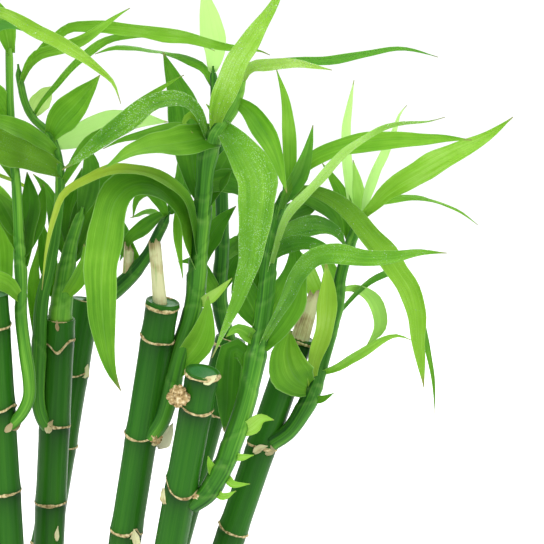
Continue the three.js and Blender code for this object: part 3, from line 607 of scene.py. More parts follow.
# Canes: head and lower place on the view, depth of the foot in the gravel, how far the cane leans back
# for each mm that it rises, the node rings' distances down from the head, where the cut's rim is torn (in
# degrees from the front), and for some rings, by number, the places where the ring climbs or sinks: [turn
# from the front in degrees, width in degrees, height in mm].
canes = {
    "a": {"head": [-8, 294], "low": [8, 540], "footDepth": -22, "leanBack": -0.06,
          "rings": [19, 72, 126, 196, 268], "waves": {1: [[60, 30, 2.5]]}},
    "b": {"head": [59.5, 318], "low": [49, 540], "footDepth": 3, "leanBack": -0.03,
          "rings": [14, 69, 121, 190, 262],
          "waves": {0: [[4, 24, -5.5], [55, 22, 1.2]], 1: [[-35, 24, 4]], 2: [[80, 40, 1.5]]}},
    "c": {"head": [86, 299], "low": [46.5, 540], "footDepth": 26, "leanBack": 0.08,
          "rings": [50, 98, 166, 238, 306], "waves": {0: [[50, 28, 3.2]]}},
    "d": {"head": [163, 301], "low": [125, 540], "footDepth": -26, "leanBack": -0.1,
          "rings": [3, 24, 86, 150, 226, 300], "torn": 180,
          "waves": {1: [[-70, 40, 2.5], [60, 30, -1]], 2: [[55, 30, 2.5]], 3: [[36, 15, 4.5]]}},
    "e": {"head": [203, 371], "low": [171.5, 540], "footDepth": -30, "leanBack": -0.18,
          "rings": [2, 24, 80, 150, 224, 292], "torn": 50,
          "waves": {1: [[-60, 35, 1.6], [70, 30, 1.4]], 2: [[-80, 45, 9], [75, 30, 4]]}},
    "f": {"head": [231, 338], "low": [176, 540], "footDepth": 24, "leanBack": 0.06,
          "rings": [6, 52, 112, 180, 250], "waves": {1: [[0, 60, 1.5]]}},
    "g": {"head": [299.5, 336], "low": [229, 541], "footDepth": 0, "leanBack": 0.02,
          "rings": [3, 75, 134, 204, 272], "waves": {1: [[0, 50, 1.5]], 2: [[-80, 30, 2]]}},
}

# At a ring: how high and wide its lip, its swelling and the groove below it are, how far off the skin still
# bends with it, and how far its shade reaches. Climb, frill and shadeSide are waves round the cane, each
# [height, number]. Band is half the width of the dry band where there is no lip, and what a full lip adds.
caneLook = {
    "radius": 9.6, "columns": 56, "spacing": 4.0, "firstRow": 1.2, "lastRing": 6, "lip": [0.8, 0.9],
    "swell": [0.45, 6], "groove": [0.3, 1.2], "grooveDown": 2.2, "bend": 10, "climb": [[0.5, 1], [0.35, 2]],
    "frill": [[0.35, 2], [0.25, 5], [0.15, 11]], "frillMean": 0.6, "band": [0.45, 0.75], "shadeFrom": 0.6,
    "shadeBelow": 8, "shadeAbove": 1.6, "shadeSide": [[0.25, 1]], "shadeMean": 0.75, "oval": 0.12,
    "grainShift": 400,
}
# Ways down from a ring at which there are rows of points, and the head's rim as [share of radius, mm down].
nearRing = np.array([-7, -4.5, -3, -2, -1.4, -0.9, -0.5, -0.1, 0.3, 0.7, 1.2, 2, 3.2, 5, 8])
headRim = np.array([[0.02, 1.3], [0.35, 1.25], [0.7, 1.1], [0.84, 0.7], [0.9, 0.1], [0.95, 0], [0.985, 0.3]])


def caneEnds(cane):
    # The depth grows with height, so it is worked out again from the height that it gave.
    def solve(spot):
        depth = cane["footDepth"]
        for i in range(21):
            point = place([spot], depth)[0]
            depth = cane["footDepth"] + cane["leanBack"] * (point[2] - potShape["gravelTop"])
        return point
    top = solve(cane["head"])
    along = unit(top - solve(cane["low"]))
    foot = top + along * (potShape["caneFoot"] - top[2]) / along[2]
    return top, foot, along


def canePart(letter):
    # Straight cane: each ring bends the rows near it up and down by its waves, swells the skin a little,
    # and leaves a lip of dry sheath. The head is a shallow dish inside a rounded rim.
    cane, look = canes[letter], caneLook
    top, foot, along = caneEnds(cane)
    length = np.linalg.norm(top - foot)
    turn = fullCircle(look["columns"])
    rings = [ring for ring in cane["rings"] if ring < length - look["lastRing"]]
    stations = [np.arange(look["firstRow"], length, look["spacing"])] + [ring + nearRing for ring in rings]
    stations = np.unique(np.round(np.concatenate(stations), 1))
    stations = stations[(stations > 1.0) & (stations < length)]
    down = np.tile(stations[:, None], (1, len(turn)))
    radius = np.full_like(down, look["radius"])
    band, shade, shift = np.zeros_like(down), np.zeros_like(down), np.zeros_like(down)
    draw = np.random.default_rng(ord(letter))
    for i, ring in enumerate(rings):
        phase = draw.uniform(0, phaseEnd, 3)
        wave = sines(turn, 0, look["climb"], phase)
        for spot, wide, high in cane["waves"].get(i, []):
            wave = wave + high * bell(apart(turn, math.radians(spot)), math.radians(wide))
        away = (stations - ring)[:, None]
        shift -= wave * bell(away, look["bend"])
        lip = np.maximum(sines(turn, look["frillMean"], look["frill"], np.roll(phase, 1)), 0)
        radius += look["lip"][0] * lip * bell(away, look["lip"][1])
        radius += look["swell"][0] * bell(away, look["swell"][1])
        radius -= look["groove"][0] * bell(away - look["grooveDown"], look["groove"][1])
        least, wider = look["band"]
        band = np.maximum(band, np.exp(-((np.abs(away) / (least + wider * lip)) ** 4)))
        below = np.exp(-(away - look["shadeFrom"]) / look["shadeBelow"])
        above = np.exp(-np.abs(away + 0.8) / look["shadeAbove"]) * 0.6
        side = sines(turn, look["shadeMean"], look["shadeSide"], phase[1:])
        shade = np.maximum(shade, np.where(away > look["shadeFrom"], below, above) * side)
    down = down + shift * np.clip(stations / 3, 0, 1)[:, None]
    radius = radius + look["oval"] * np.sin(2 * turn + draw.uniform(0, 6))[None]
    share = headRim[:, :1]
    flat = np.zeros((len(headRim), len(turn)))
    rag = bell(apart(turn[None], math.radians(cane.get("torn", 0))), 0.8) + 0.15 * np.sin(5 * turn)[None]
    down = np.vstack([headRim[:, 1:] + flat, down])
    radius = np.vstack([share * radius[:1], radius])
    disc = np.vstack([np.where(share < 0.8, 0.8, 0.0) + flat, np.zeros_like(band)])
    band = np.vstack([np.where(share > 0.88, 0.1 + 0.6 * rag, 0.5 * (share > 0.75) * rag) + flat, band])
    shade = np.vstack([flat, shade])
    grid = top - along * down[..., None] + outwards(along, turn) * radius[..., None]
    bark = barkPlace(turn, look["radius"], down + look["grainShift"] * ord(letter))
    return gridPart(grid, {"grainPlace": bark, "ringBand": band, "ringShade": shade, "topDisc": disc})


def onCane(letter, spots, proud):
    # Depth at which the view's ray meets the cane's skin: axis depth less the chord at that side step.
    top, foot, along = caneEnds(canes[letter])
    depth = np.full(len(spots), top[1])
    for i in range(8):
        points = place(spots, depth)
        axis = top + along * ((points[:, 2] - top[2]) / along[2])[:, None]
        chord = np.maximum((caneLook["radius"] + proud) ** 2 - (points[:, 0] - axis[:, 0]) ** 2, 0)
        depth = axis[:, 1] - np.sqrt(chord)
    return place(spots, depth)


# Leaf blades: how deep the trough is as a share of the half width, and how much deeper at the base, where
# it clasps the stem, the thickness at rib and edge, and the waves of the margins. Where half the width is
# under thinFrom or creaseFrom, the blade thins and its crease fades. A leaf is all wet from wetFrom drops on.
leafLook = {
    "trough": 0.28, "clasp": 2.2, "claspRun": 0.05, "spacing": 5.0, "rows": [12, 80], "leastHalf": 0.25,
    "rib": 0.5, "ribWidth": 0.16, "edge": 0.22, "thinFrom": 1.2, "crease": 0.12, "creaseWidth": 0.06,
    "creaseFrom": 3, "waveLength": 42, "leastWaves": 1.5, "slowWave": 0.07, "quickWave": 0.05,
    "quickRates": [1.7, 1.6], "ragged": 0.75, "wetFrom": 90,
}
across = np.array([-1, -0.96, -0.8, -0.55, -0.28, -0.07, 0, 0.07, 0.28, 0.55, 0.8, 0.96, 1])


def leafAt(route, broad, out, tint, **more):
    # What a leaf of the tables below doesn't name is as here.
    return {"roll": [10, 10], "belly": 0.4, "base": 0.34, "tail": 1.8, "bow": 0, "warm": 0, "pale": 0,
            "drops": 0, "route": spotList(route), "broad": broad, "out": out, "tint": tint, **more}


def leafWidth(t, belly, base, tail):
    # Share of the widest: a quarter sine up from the base to the belly, then out to a long point.
    u = np.clip((t - belly) / (1 - belly), 0, 1)
    rise = base + (1 - base) * np.sin(np.pi / 2 * np.clip(t / belly, 0, 1))
    return np.where(t < belly, rise, np.maximum((1 - u**tail) * (1 - 0.22 * u), 0.02))


def leafRib(stemCorners, leaf, order):
    # The root is the stem point that covers the route's first spot, and the depth runs out from it. Roots
    # are set a little apart by their order.
    samples, _ = smoothLine(stemCorners, 121)
    route = np.array(leaf["route"])
    root = samples[np.argmin(np.linalg.norm(sawSpot(samples) - route[0], axis=1))].copy()
    root[0] += 0.3 * (((order * 7) % 5) - 2)
    root[1] += 0.3 * (((order * 3) % 5) - 2)
    steps = np.concatenate([[0], np.cumsum(np.linalg.norm(np.diff(route, axis=0), axis=1))])
    t = steps / steps[-1]
    corners = place(route, root[1] + leaf["out"] * t + leaf["bow"] * np.sin(np.pi * t))
    corners[0] = root
    return corners


def bladePart(corners, leaf, seed, material=0):
    # The rib follows the corners. The section is a shallow trough, whose lift grows with the way out from
    # the rib to the power 1.5. The margins wave a little, and the whole is rolled about the rib.
    look = leafLook
    draw = np.random.default_rng(seed)
    _, length = smoothLine(corners, 2)
    rows = int(np.clip(round(length / look["spacing"]), *look["rows"])) + 1
    t = np.linspace(0, 1, rows)
    rib, _ = smoothLine(corners, rows)
    along = unit(np.gradient(rib, axis=0))
    side = unit(np.cross(along, towardViewer))
    roll = np.radians(spread(leaf["roll"], t))[:, None]
    side = side * np.cos(roll) + np.cross(along, side) * np.sin(roll)
    face = np.cross(side, along)
    share = leafWidth(t, leaf["belly"], leaf["base"], leaf["tail"])
    half = np.maximum(leaf["broad"] / 2 * share, look["leastHalf"])[:, None]
    edge = np.abs(across)[None]
    phase = draw.uniform(0, phaseEnd, 4)
    count = max(length / look["waveLength"], look["leastWaves"])
    left, right = ((look["slowWave"] * np.sin(2 * np.pi * count * t + slow)
                    + look["quickWave"] * np.sin(2 * np.pi * count * rate * t + quick))[:, None]
                   for slow, quick, rate in zip(phase[::2], phase[1::2], look["quickRates"]))
    swell = np.sin(np.pi * t)[:, None]
    margin = np.where(across < 0, left, right) * swell
    narrow = half * (1 + look["ragged"] * np.where(across < 0, right, left) * swell * edge)
    trough = look["trough"] * (1 + look["clasp"] * np.exp(-t / look["claspRun"]))[:, None]
    lift = half * (trough * edge**1.5 + margin * edge**2)
    thick = look["edge"] + (look["rib"] - look["edge"]) * bell(edge, look["ribWidth"])
    thick = thick * np.clip(half / look["thinFrom"], 0.5, 1)
    crease = -look["crease"] * bell(edge, look["creaseWidth"]) * np.clip(half / look["creaseFrom"], 0, 1)
    flat = rib[:, None] + side[:, None] * (narrow * across)[..., None]
    upper = flat + face[:, None] * (lift + thick / 2 + crease)[..., None]
    lower = flat + face[:, None] * (lift - thick / 2)[..., None]
    both = np.concatenate([across, across[::-1]])
    shape = (rows, len(both))
    spot = np.stack([np.broadcast_to(both * leaf["broad"] / 2, shape), np.full(shape, draw.uniform(0, 900)),
                     np.broadcast_to((t * length)[:, None], shape)], axis=-1) / perMetre
    values = {key: spread(leaf[key], t)[:, None] for key in ("tint", "warm", "pale")}
    wet = min(leaf["drops"] / look["wetFrom"], 1) * (0.5 + 0.5 * np.abs(both))
    values.update(grainPlace=spot, ribAway=np.abs(both), leafAlong=t[:, None], wet=wet)
    part = gridPart(np.concatenate([upper, lower[:, ::-1]], axis=1), values, material)
    return {**part, "top": upper, "face": face, "drops": leaf["drops"]}


# Stems: how far the edge of a sheath slants, by which share the sheath widens the stem and over what
# length, the length of the step back at its edge, and the pale and the dark line there, as [mm down, width].
stemLook = {
    "columns": 20, "spacing": 1.3, "slant": [4, 7], "swell": 0.09, "swellRun": 24, "stepRun": 1.5,
    "paleLine": [2, 1.4], "darkLine": [-0.8, 1.2], "topRun": 6, "topShare": 0.35, "streak": 0.06,
    "grainRadius": 4, "grainShift": 50,
}


def stemPart(shoot, stemCorners, roots, seed):
    # A round stem wrapped in leaf sheaths: below each leaf root it widens slowly to the sheath's edge,
    # which runs aslant round the stem, and above the edge it steps back in.
    look = stemLook
    _, length = smoothLine(stemCorners, 2)
    turn = fullCircle(look["columns"])
    t = np.linspace(0, 1, int(length / look["spacing"]) + 2)
    centres, _ = smoothLine(stemCorners, t)
    radii = np.tile((spread(shoot["thick"], t) / 2)[:, None], (1, len(turn)))
    edge = np.zeros_like(radii)
    draw = np.random.default_rng(seed)
    for root in roots:
        slope = draw.uniform(*look["slant"]) * np.cos(turn - draw.uniform(0, phaseEnd))
        gone = ((root - t) * length)[:, None] + slope
        reach = np.clip(1 - gone / look["swellRun"], 0, 1)
        radii += radii * look["swell"] * reach * np.clip(gone / look["stepRun"], 0, 1)
        for (down, width), sign in ((look["paleLine"], 1), (look["darkLine"], -1)):
            edge = edge + sign * bell(gone - down, width)
    top = np.clip((1 - t) * length / look["topRun"], look["topShare"], 1)[:, None]
    out = outwards(unit(np.gradient(centres, axis=0)), turn)
    aslant = np.sin(turn + draw.uniform(0, phaseEnd))
    return gridPart(centres[:, None] + out * (radii * top)[..., None], {
        "grainPlace": barkPlace(turn, look["grainRadius"], (t * length)[:, None] + look["grainShift"] * seed),
        "tint": spread(shoot["tint"], t)[:, None] + look["streak"] * aslant, "sheathEdge": edge}, 1)


# Shoots: the stem's places on the view with their depths, its thickness from foot to top, and its leaves.
# A leaf is its route on the view, which starts on the stem, its full width, and how far its tip ends behind
# (or, below zero, in front of) its base. Bow is how far its middle bends the same way. Its colours run from
# base to tip: tint from 0 deep green to 1 young yellow-green, in which low values also paint shade on leaves
# in shadow and high ones painted light on brightly lit leaves, warm to olive or (below zero) to blue, pale
# for painted light that shines through, and drops is how many beads of water lie on it.
shoots = {
    "a": {"thick": [7, 8.4, 7, 6.4, 5.4, 4.6, 4.1], "tint": [0.45, 0.6], "stem": (
        "10,426,-42 22,413,-44 29,397,-44 29,378,-43 25,350,-42 21,315,-40 21,280,-38 "
        "19,240,-36 17,195,-34 13,150,-32 10,100,-30 9,25,-28"), "leaves": [
        leafAt("19,250 12,226 2,208 -12,192 -34,182 -62,190", 16, 50, [0.45, 0.6]),
        leafAt("22,300 6,284 -12,281 -34,292 -52,312", 12, -50, 0.6, roll=[30, 10]),
        leafAt("9,52 3,24 -10,6 -28,-4 -50,-4", 13, -30, [0.5, 0.7], roll=[30, 20]),
        leafAt("11,125 -2,100 -18,88 -44,88 -72,108", 15, -12, 0.5, roll=[35, 10]),
        leafAt("17,180 4,155 -14,146 -40,152 -64,176", 16, 60, 0.45, roll=[20, 0]),
        leafAt("20,255 32,228 40,206 44,184", 13, 30, [0.2, 0.3, 0.35], base=0.6),
        leafAt("19,236 12,220 4,206 -6,190", 14, 20, [0.25, 0.35], base=0.6),
        leafAt("20,266 26,232 30,200 27,172", 12.5, 24, [0.2, 0.25], belly=0.6, base=0.6),
    ]},
    "l": {"thick": [7, 4.6], "tint": [0.4, 0.6], "stem": (
        "-6,426,-42 -19,412,-44 -24,390,-45 -27,340,-46 -29,280,-47 -30,200,-48 -30,120,-48 "
        "-28,60,-48 -26,18,-48"), "leaves": [
        leafAt("-27,33 -14,15 0,11 25,23 55,38 80,53 103,71 114,83 121,104", 11, -60, [0.6, 0.72, 0.8],
               roll=[50, 45, 55], belly=0.5, warm=0.35, drops=40),
        leafAt("-29,74 -14,37 0,24 15,24 30,30 44,38 58,42", 8, 6, 0.5, roll=[55, 35], warm=-0.7),
        leafAt("-30,100 -42,36 -58,14 -85,10 -112,30 -132,62", 15, 50, 0.5),
        leafAt("-30,148 -42,110 -62,98 -88,110 -108,145", 17, -60, 0.45),
        leafAt("-28,52 -22,10 -28,-18 -44,-44", 13, 40, 0.6, roll=[30, 20]),
        leafAt("-30,225 -46,202 -70,200 -94,228 -104,272", 18, -70, 0.5),
        leafAt("-29,290 -40,262 -58,250 -78,262 -90,300", 15, 60, 0.4),
    ]},
    "m": {"thick": [8, 9, 9, 7, 5.5, 4.5, 4], "tint": [0.35, 0.55], "stem": (
        "50,430,-8 42,418,-14 38,400,-16 39,350,-16 42,300,-15 49,270,-13 56,230,-10 60,190,-8 "
        "58,160,-8 50,135,-8 34,119,-8 26,105,-8 20,81,-8 18,64,-8"), "leaves": [
        leafAt("21,82 28,64 38,54 50,50 65,46 80,40 95,31 118,15 130,8", 9, -30, [0.55, 0.75], roll=[55, 30]),
        leafAt("20,76 35,56 47,42 56,35 70,26 95,25 125,27 160,32.5 190,36.5 225,46 258,50 270,55", 12, -14,
               [0.5, 0.7, 0.78, 0.6], roll=[60, 50], belly=0.6, warm=-0.1, drops=20),
        leafAt("32,116 40,102 53,87 68,69 88,50 110,38 135,33.5 165,35 195,42 215,51", 9, 25,
               [0.45, 0.6, 0.62], roll=[68, 62], warm=-0.2),
        leafAt("50,136 60,121 75,105 88,90 100,75", 19, -45, [0.4, 0.5, 0.55], roll=[0, 10]),
        leafAt("34,118 38,106 45,95 53,86", 13, 45, 0.85, roll=[10, 30], warm=0.5, pale=0.3),
        leafAt("57,154 44,143 24,132 0,123 -22,118 -44,124", 12, -90, [0.45, 0.6], roll=[20, 40]),
        leafAt("59,172 44,163 24,154 0,145 -20,141 -42,150 -58,172", 22, -80, [0.4, 0.46, 0.5],
               roll=[15, 0], belly=0.5, warm=0.25, drops=30),
        leafAt("60,186 88,143 120,125 131,110 152,94 176,79 184,75", 9, -20, [0.35, 0.45, 0.65],
               roll=[30, 30]),
        leafAt("56,145 95,130 130,120 168,122", 18, 70, 1, roll=[10, 0], warm=0.25, pale=1),
        leafAt("40,345 36,312 34,278 38,246", 9, 10, [0.35, 0.5], belly=0.5, base=0.7),
    ]},
    "b": {"thick": [15, 5], "tint": [0.62, 0.5], "stem": (
        "59,334,-7 61,312,-7 63,292,-6 66,270,-4 71,245,-1 77,225,2 83,207,4"), "leaves": [
        leafAt("65,280 70,255 77,232 85,210 98,190 113,176 128,167", 16, 45, [0.25, 0.35], roll=[20, 20],
               belly=0.6),
        leafAt("68,258 60,236 54,208 44,186 33,174", 12, 50, [0.25, 0.4]),
        leafAt("80,215 88,190 91,165 84,142", 14, 45, [0.25, 0.35]),
        leafAt("63,300 76,282 84,262 84,244", 10, -35, 0.5, roll=[30, 10]),
        leafAt("68,262 82,238 98,218 118,204", 15, 50, [0.2, 0.3], base=0.6),
        leafAt("62,305 50,272 44,240 38,212", 12, 30, [0.2, 0.35], base=0.6),
        leafAt("71,245 69,225 72,202 82,168", 12, 40, [0.2, 0.3], base=0.6),
    ]},
    "c": {"thick": [10, 11.5, 9, 6.5, 4], "tint": [0.2, 0.3], "stem": (
        "84,308,52 95,301,50 108,295,48 121,285,46 135,271,44 148,254,42 159,232,40 170,212,38"), "leaves": [
        leafAt("169,214 158,218 145,228 130,239 120,261", 11, 30, 0.3, roll=[30, 20]),
        leafAt("167,218 158,200 146,192 137,200 133,218", 8, -20, 0.35, roll=[20, 20]),
        leafAt("165,222 150,213 130,218", 7, 40, 0.45, roll=[50, 50]),
        leafAt("169,214 181,192 185,168 180,140", 14, 50, [0.2, 0.3]),
        leafAt("140,266 124,246 112,220 96,206 80,208", 14, 60, 0.3),
    ]},
    "d": {"thick": [11, 12, 11, 10, 9.8, 9, 7], "tint": [0.42, 0.4, 0.32, 0.42, 0.8], "stem": (
        "150,437,-58 161,420,-59 166,405,-58 172,380,-57 180,350,-56 190,320,-56 196,290,-56 "
        "199,250,-56 203,200,-56 207,160,-56 213,135,-56 222,122,-56 232,107,-57 238,88,-57 "
        "241,70,-57"), "leaves": [
        leafAt("215,132 218,108 226,88 235,65 247,45 260,25 273,5 289,-25", 14.5, -60,
               [0.6, 0.8, 0.85, 0.7], roll=[20, 10, 25], belly=0.34, warm=0.25, drops=170),
        leafAt("209,148 195,110 180,100 162,101 145,109 125,124 100,142 80,158 62,170", 13, -70,
               [0.32, 0.42, 0.42, 0.36], roll=[60, 25, 10], belly=0.62, drops=150),
        leafAt("202,205 195,178 191,150 186,125 180,96 171,73 163,52", 21, 70, [0.2, 0.25, 0.3, 0.35],
               roll=[10, 0], belly=0.48),
        leafAt("209,152 196,134 180,129 160,131 140,136 120,141 103,149", 9, 12, [0.36, 0.42, 0.42],
               roll=[45, 40]),
        leafAt("212,139 204,138 190,141 170,144 150,147 130,153 115,162 103,169", 19, -75,
               [0.25, 0.55, 0.6, 0.5], roll=[10, 40], belly=0.24, base=0.7),
        leafAt("198,262 193,225 187,202 175,188 160,178 140,172 115,171 90,179 65,195 55,218 47,250 42,290",
               11, -40, [0.25, 0.38, 0.62, 0.8, 0.75], roll=[70, 55, 50, 55], bow=-7,
               warm=[0, 0.1, 0.6, 0.85, 0.8]),
        leafAt("196,280 187,245 181,215 172,201 159,189 145,184 128,188 115,202 108,230 102,270 102,310 "
               "106,345 112,372 121,391", 22, -60, [0.35, 0.42, 0.28, 0.22, 0.4, 0.5, 0.46, 0.4, 0.36],
               roll=[76, 58, 20, 0, 12], belly=0.5, base=0.25, tail=3, warm=0.1),
        leafAt("220,126 237,143 249,160 257,176 259,190 258,205 255,225 252,245 249,265 243,285 233,310 "
               "222,335 212,358", 24, -70, [0.35, 0.55, 0.6, 0.5, 0.5, 0.58, 0.55], roll=[15, 0], belly=0.3,
               tail=1.1, warm=-0.15, drops=120),
        leafAt("236,98 250,111 261,125 271,141 278,158 283,178 287,193", 13.5, -36, [0.35, 0.5, 0.55],
               roll=[20, 30], warm=-0.1),
        leafAt("238,86 250,67 270,63 285,62 300,63 315,66 332,70", 9, -45, [0.6, 0.8, 0.9], roll=[50, 45],
               warm=0.5, pale=0.2, drops=120),
        leafAt("240,77 262,64 298,60 325,59 345,57 370,52 395,48 410,49 438,57", 8, 20, [0.5, 0.5, 0.55],
               roll=[55, 55], warm=-0.5),
        leafAt("184,374 197,345 206,320 208,296", 17, -12, [0.35, 0.6], base=0.6),
        leafAt("196,308 212,296 232,278", 7, -12, 0.85, roll=[20, 20], warm=0.3),
        leafAt("200,248 192,232 189,212 188,195", 6, -8, 0.4),
        leafAt("203,208 190,203 180,212 178,235 180,255 183,279", 6, -14, 0.5),
        leafAt("203,205 214,180 226,160 236,138", 15, 30, [0.2, 0.25, 0.3], base=0.6),
        leafAt("205,186 222,180 240,185 256,202", 15, 40, [0.2, 0.3], base=0.6, warm=-0.1),
        leafAt("198,262 208,240 222,220 236,206", 13, 25, [0.2, 0.25], base=0.6),
        leafAt("212,139 201,122 190,115 184,124 193,133", 5, -12, [0.5, 0.75], warm=0.3),
        leafAt("218,128 213,112 206,104", 5, -10, [0.6, 0.8], warm=0.3),
    ]},
    "e": {"thick": [10.5, 12.5, 11, 9, 4.5], "tint": [0.25, 0.4, 0.45], "stem": (
        "192,505,-75 206,494,-77 219,475,-77 226,460,-76 233,440,-75 240,420,-73 246,400,-70 "
        "251,380,-68 255,360,-65 259,340,-62 264,310,-58 268,270,-54 272,240,-51 278,215,-48 "
        "284,195,-46 288,184,-45"), "leaves": [
        leafAt("268,275 274,250 280,228 290,208 305,193 330,165 345,150 360,140 380,128 400,123 430,121 "
               "445,117", 9.5, -70, [0.5, 0.75, 0.8, 0.4], roll=[60, 55, 55], warm=0.2, pale=0.2, drops=150),
        leafAt("275,226 284,196 295,175 312,158 335,148 360,142 390,139 420,139 445,138 472,140", 12, -30,
               [0.3, 0.5, 0.6, 0.6], roll=[60, 25, 25], belly=0.6),
        leafAt("285,192 308,189 325,194 345,206 365,228 383,248 397.5,270 411,291 417,315 418.5,341 "
               "421,362 424,388", 14.5, 40, [0.25, 0.36, 0.62, 0.68, 0.6], roll=[30, 10], belly=0.5,
               tail=2.6, warm=0.25, drops=20),
        leafAt("257,352 270,326 285,300 297,275 312,257 335,253 365,257 395,256 420,252 447,253", 12, -60,
               [0.35, 0.4, 0.5, 0.54], roll=[60, 20, 20], belly=0.58, warm=-0.15, drops=50),
        leafAt("272,241 285,232 302,226 320,225 336,231 346,247", 13, 30, [0.25, 0.3, 0.35], roll=[25, 10],
               warm=-0.2, drops=30),
        leafAt("270,258 285,246 305,242 325,247 340,257", 10, -30, [0.2, 0.3, 0.4], roll=[25, 10],
               warm=-0.2, drops=20),
        leafAt("278,215 300,212 325,199", 9, 30, 0.3, warm=-0.2),
        leafAt("283,199 289,172 289,145 288,120 284,95 276,68", 9, 40, [0.4, 0.65, 0.6], warm=-0.1),
        leafAt("281,206 298,178 305,160 310,140 313,125", 10, -25, [0.35, 0.5], warm=-0.4),
        leafAt("218,478 211,467 208,456", 6, -6, 0.75),
        leafAt("228,456 240,457 254,455", 5, -6, 0.8),
        leafAt("222,468 232,483 250,484", 5, -8, 0.8),
        leafAt("212,486 222,496 236,491", 5, -8, 0.75),
        leafAt("236,432 250,427 262,418 274,420", 10, -8, 0.8, warm=0.2),
        leafAt("258,345 247,334 237,329 226,337", 9, -10, 0.6, warm=-0.3),
        leafAt("260,345 276,319 289,292 296,264 292,238", 24, 20, [0.35, 0.4, 0.25], roll=[0, 0], base=0.6),
        leafAt("252,378 243,352 233,348 228,375 227,405 224,432", 16, 22, [0.3, 0.15, 0.12], roll=[0, 0],
               belly=0.6, warm=-0.1),
        leafAt("266,292 256,262 258,232 268,205", 13, 30, [0.2, 0.3], base=0.6),
        leafAt("273,235 288,216 306,206 322,208", 14, 50, [0.2, 0.25, 0.35], base=0.6),
        leafAt("262,325 250,304 242,284 240,262", 18, 22, [0.35, 0.2], roll=[0, 0], base=0.6),
        leafAt("284,196 304,196 324,205 338,222 344,240", 10.5, 40, [0.3, 0.35]),
    ]},
    "f": {"thick": [10, 9, 7, 4], "tint": [0.2, 0.35], "stem": (
        "230,344,43 224,325,43 220,300,42 220,280,41 222,250,39 222,200,36 219,150,33 "
        "215,100,30 213,66,28"), "leaves": [
        leafAt("216,74 215,50 212,32 209,16 206,0 203,-20", 15.5, 50, [0.8, 1], roll=[0, 10], belly=0.38,
               warm=0.3, pale=0.9),
        leafAt("214,86 205,68 190,59 180,55 165,52 152,50 135,47.5 115,47 95,54", 11, 30, [0.4, 0.5],
               roll=[-30, -160], warm=-0.2),
        leafAt("222,232 213,212 210,190 214,165", 13, 50, 0.3),
        leafAt("221,182 236,160 250,154 264,168", 10, 45, 0.35),
        leafAt("222,262 235,245 248,248 255,275", 13, 50, 0.3),
        leafAt("220,300 206,280 196,262 178,262", 12, -25, 0.35),
        leafAt("221,285 232,262 244,238 248,212", 15, 30, [0.15, 0.3], base=0.6),
    ]},
    "g": {"thick": [10.5, 10, 8, 4.5], "tint": [0.3, 0.35, 0.45], "stem": (
        "272,443,-2 289,431,-3 305,407,-2 316,381,0 323,356,2 330,330,4 337,305,5 340,280,6 "
        "345,260,7 352,240,8 358,225,9 364,212,9"), "leaves": [
        leafAt("363,215 375,203 385,193 400,182 420,171 440,160 460,149 478,141 490,134 513,117", 15, -50,
               [0.6, 0.74, 0.76, 0.62], roll=[35, 5, 20], belly=0.45, warm=0.15),
        leafAt("357,228 371,207 385,199 410,196.5 425,198 445,204 460,211 478,225", 8.5, 30,
               [0.5, 0.6, 0.65], roll=[80, 55, 85, 55]),
        leafAt("361,221 368,190 375,171 383,155 394,130 399,115 407,105", 8, 55, [0.9, 1], roll=[30, 40],
               warm=0.1, pale=0.9),
        leafAt("354,236 350,206 348,185 346,165 345.5,130 348,112 354,80", 8, 60, [0.9, 1], roll=[50, 20],
               belly=0.55, warm=0.2, pale=0.9),
        leafAt("350,246 343,200 331,176 322,163", 11, 30, [0.3, 0.45]),
        leafAt("335,320 346,303 360,288.5 378,275.5 396,271 415,298 426,338 430,358 433.5,378 435,415", 8,
               50, [0.3, 0.35, 0.5, 0.45], roll=[55, 45], warm=-0.2),
        leafAt("320,374 335,367.5 350,358.5 370,346.5 390,336 400,335.5 411,340", 9, -45, [0.55, 0.7, 0.75],
               roll=[45, 40]),
        leafAt("340,290 352,287 363,290 373,298 380,313 380,328 367,345", 10, 40, [0.72, 0.62],
               roll=[40, 0], belly=0.6, warm=0.1, pale=0.35),
        leafAt("308,393 312,370 317,350 323,330 326,310 327,290 326,262", 13, -34, [0.55, 0.72, 0.75],
               roll=[30, 10], belly=0.7, warm=0.4),
        leafAt("311,389 300,382 291,370 287,352 290,330", 27, -16, [0.35, 0.4, 0.55, 0.5], roll=[0, -10],
               belly=0.45, base=0.15, tail=2.6, bow=-8),
        leafAt("306,398 321,399 334,393", 5, -6, 0.4),
        leafAt("332,325 320,300 308,276 296,248", 12, 25, [0.6, 0.85], belly=0.7, warm=0.2),
        leafAt("338,300 335,282 327,264 314,246", 10.5, 45, [0.5, 0.6], base=0.6),
        leafAt("358,228 360,205 357,182 353,160", 9, 34, [0.7, 0.85], base=0.7, pale=0.3),
    ]},
}


def shootParts(letter, slimmest):
    shoot = shoots[letter]
    stem = np.array(spotList(shoot["stem"]))
    corners = place(stem[:, :2], stem[:, 2])
    samples, _ = smoothLine(corners, 201)
    blades, roots = [], []
    for order, leaf in enumerate(shoot["leaves"]):
        if leaf["broad"] >= slimmest:
            rib = leafRib(corners, leaf, order)
            roots.append(np.argmin(np.linalg.norm(samples - rib[0], axis=1)) / 200)
            blades.append(bladePart(rib, leaf, ord(letter) * 100 + order))
    return [stemPart(shoot, corners, sorted(roots), ord(letter))] + blades


# Crowd holds the two numbers of a beta draw, and below 1 they crowd the beads towards the two margins.
dropLook = {"rows": 5, "columns": 7, "size": [0.12, 0.3], "bigEvery": 11, "big": 1.6, "flat": 0.75,
            "proud": 0.25, "crowd": [0.6, 0.8]}


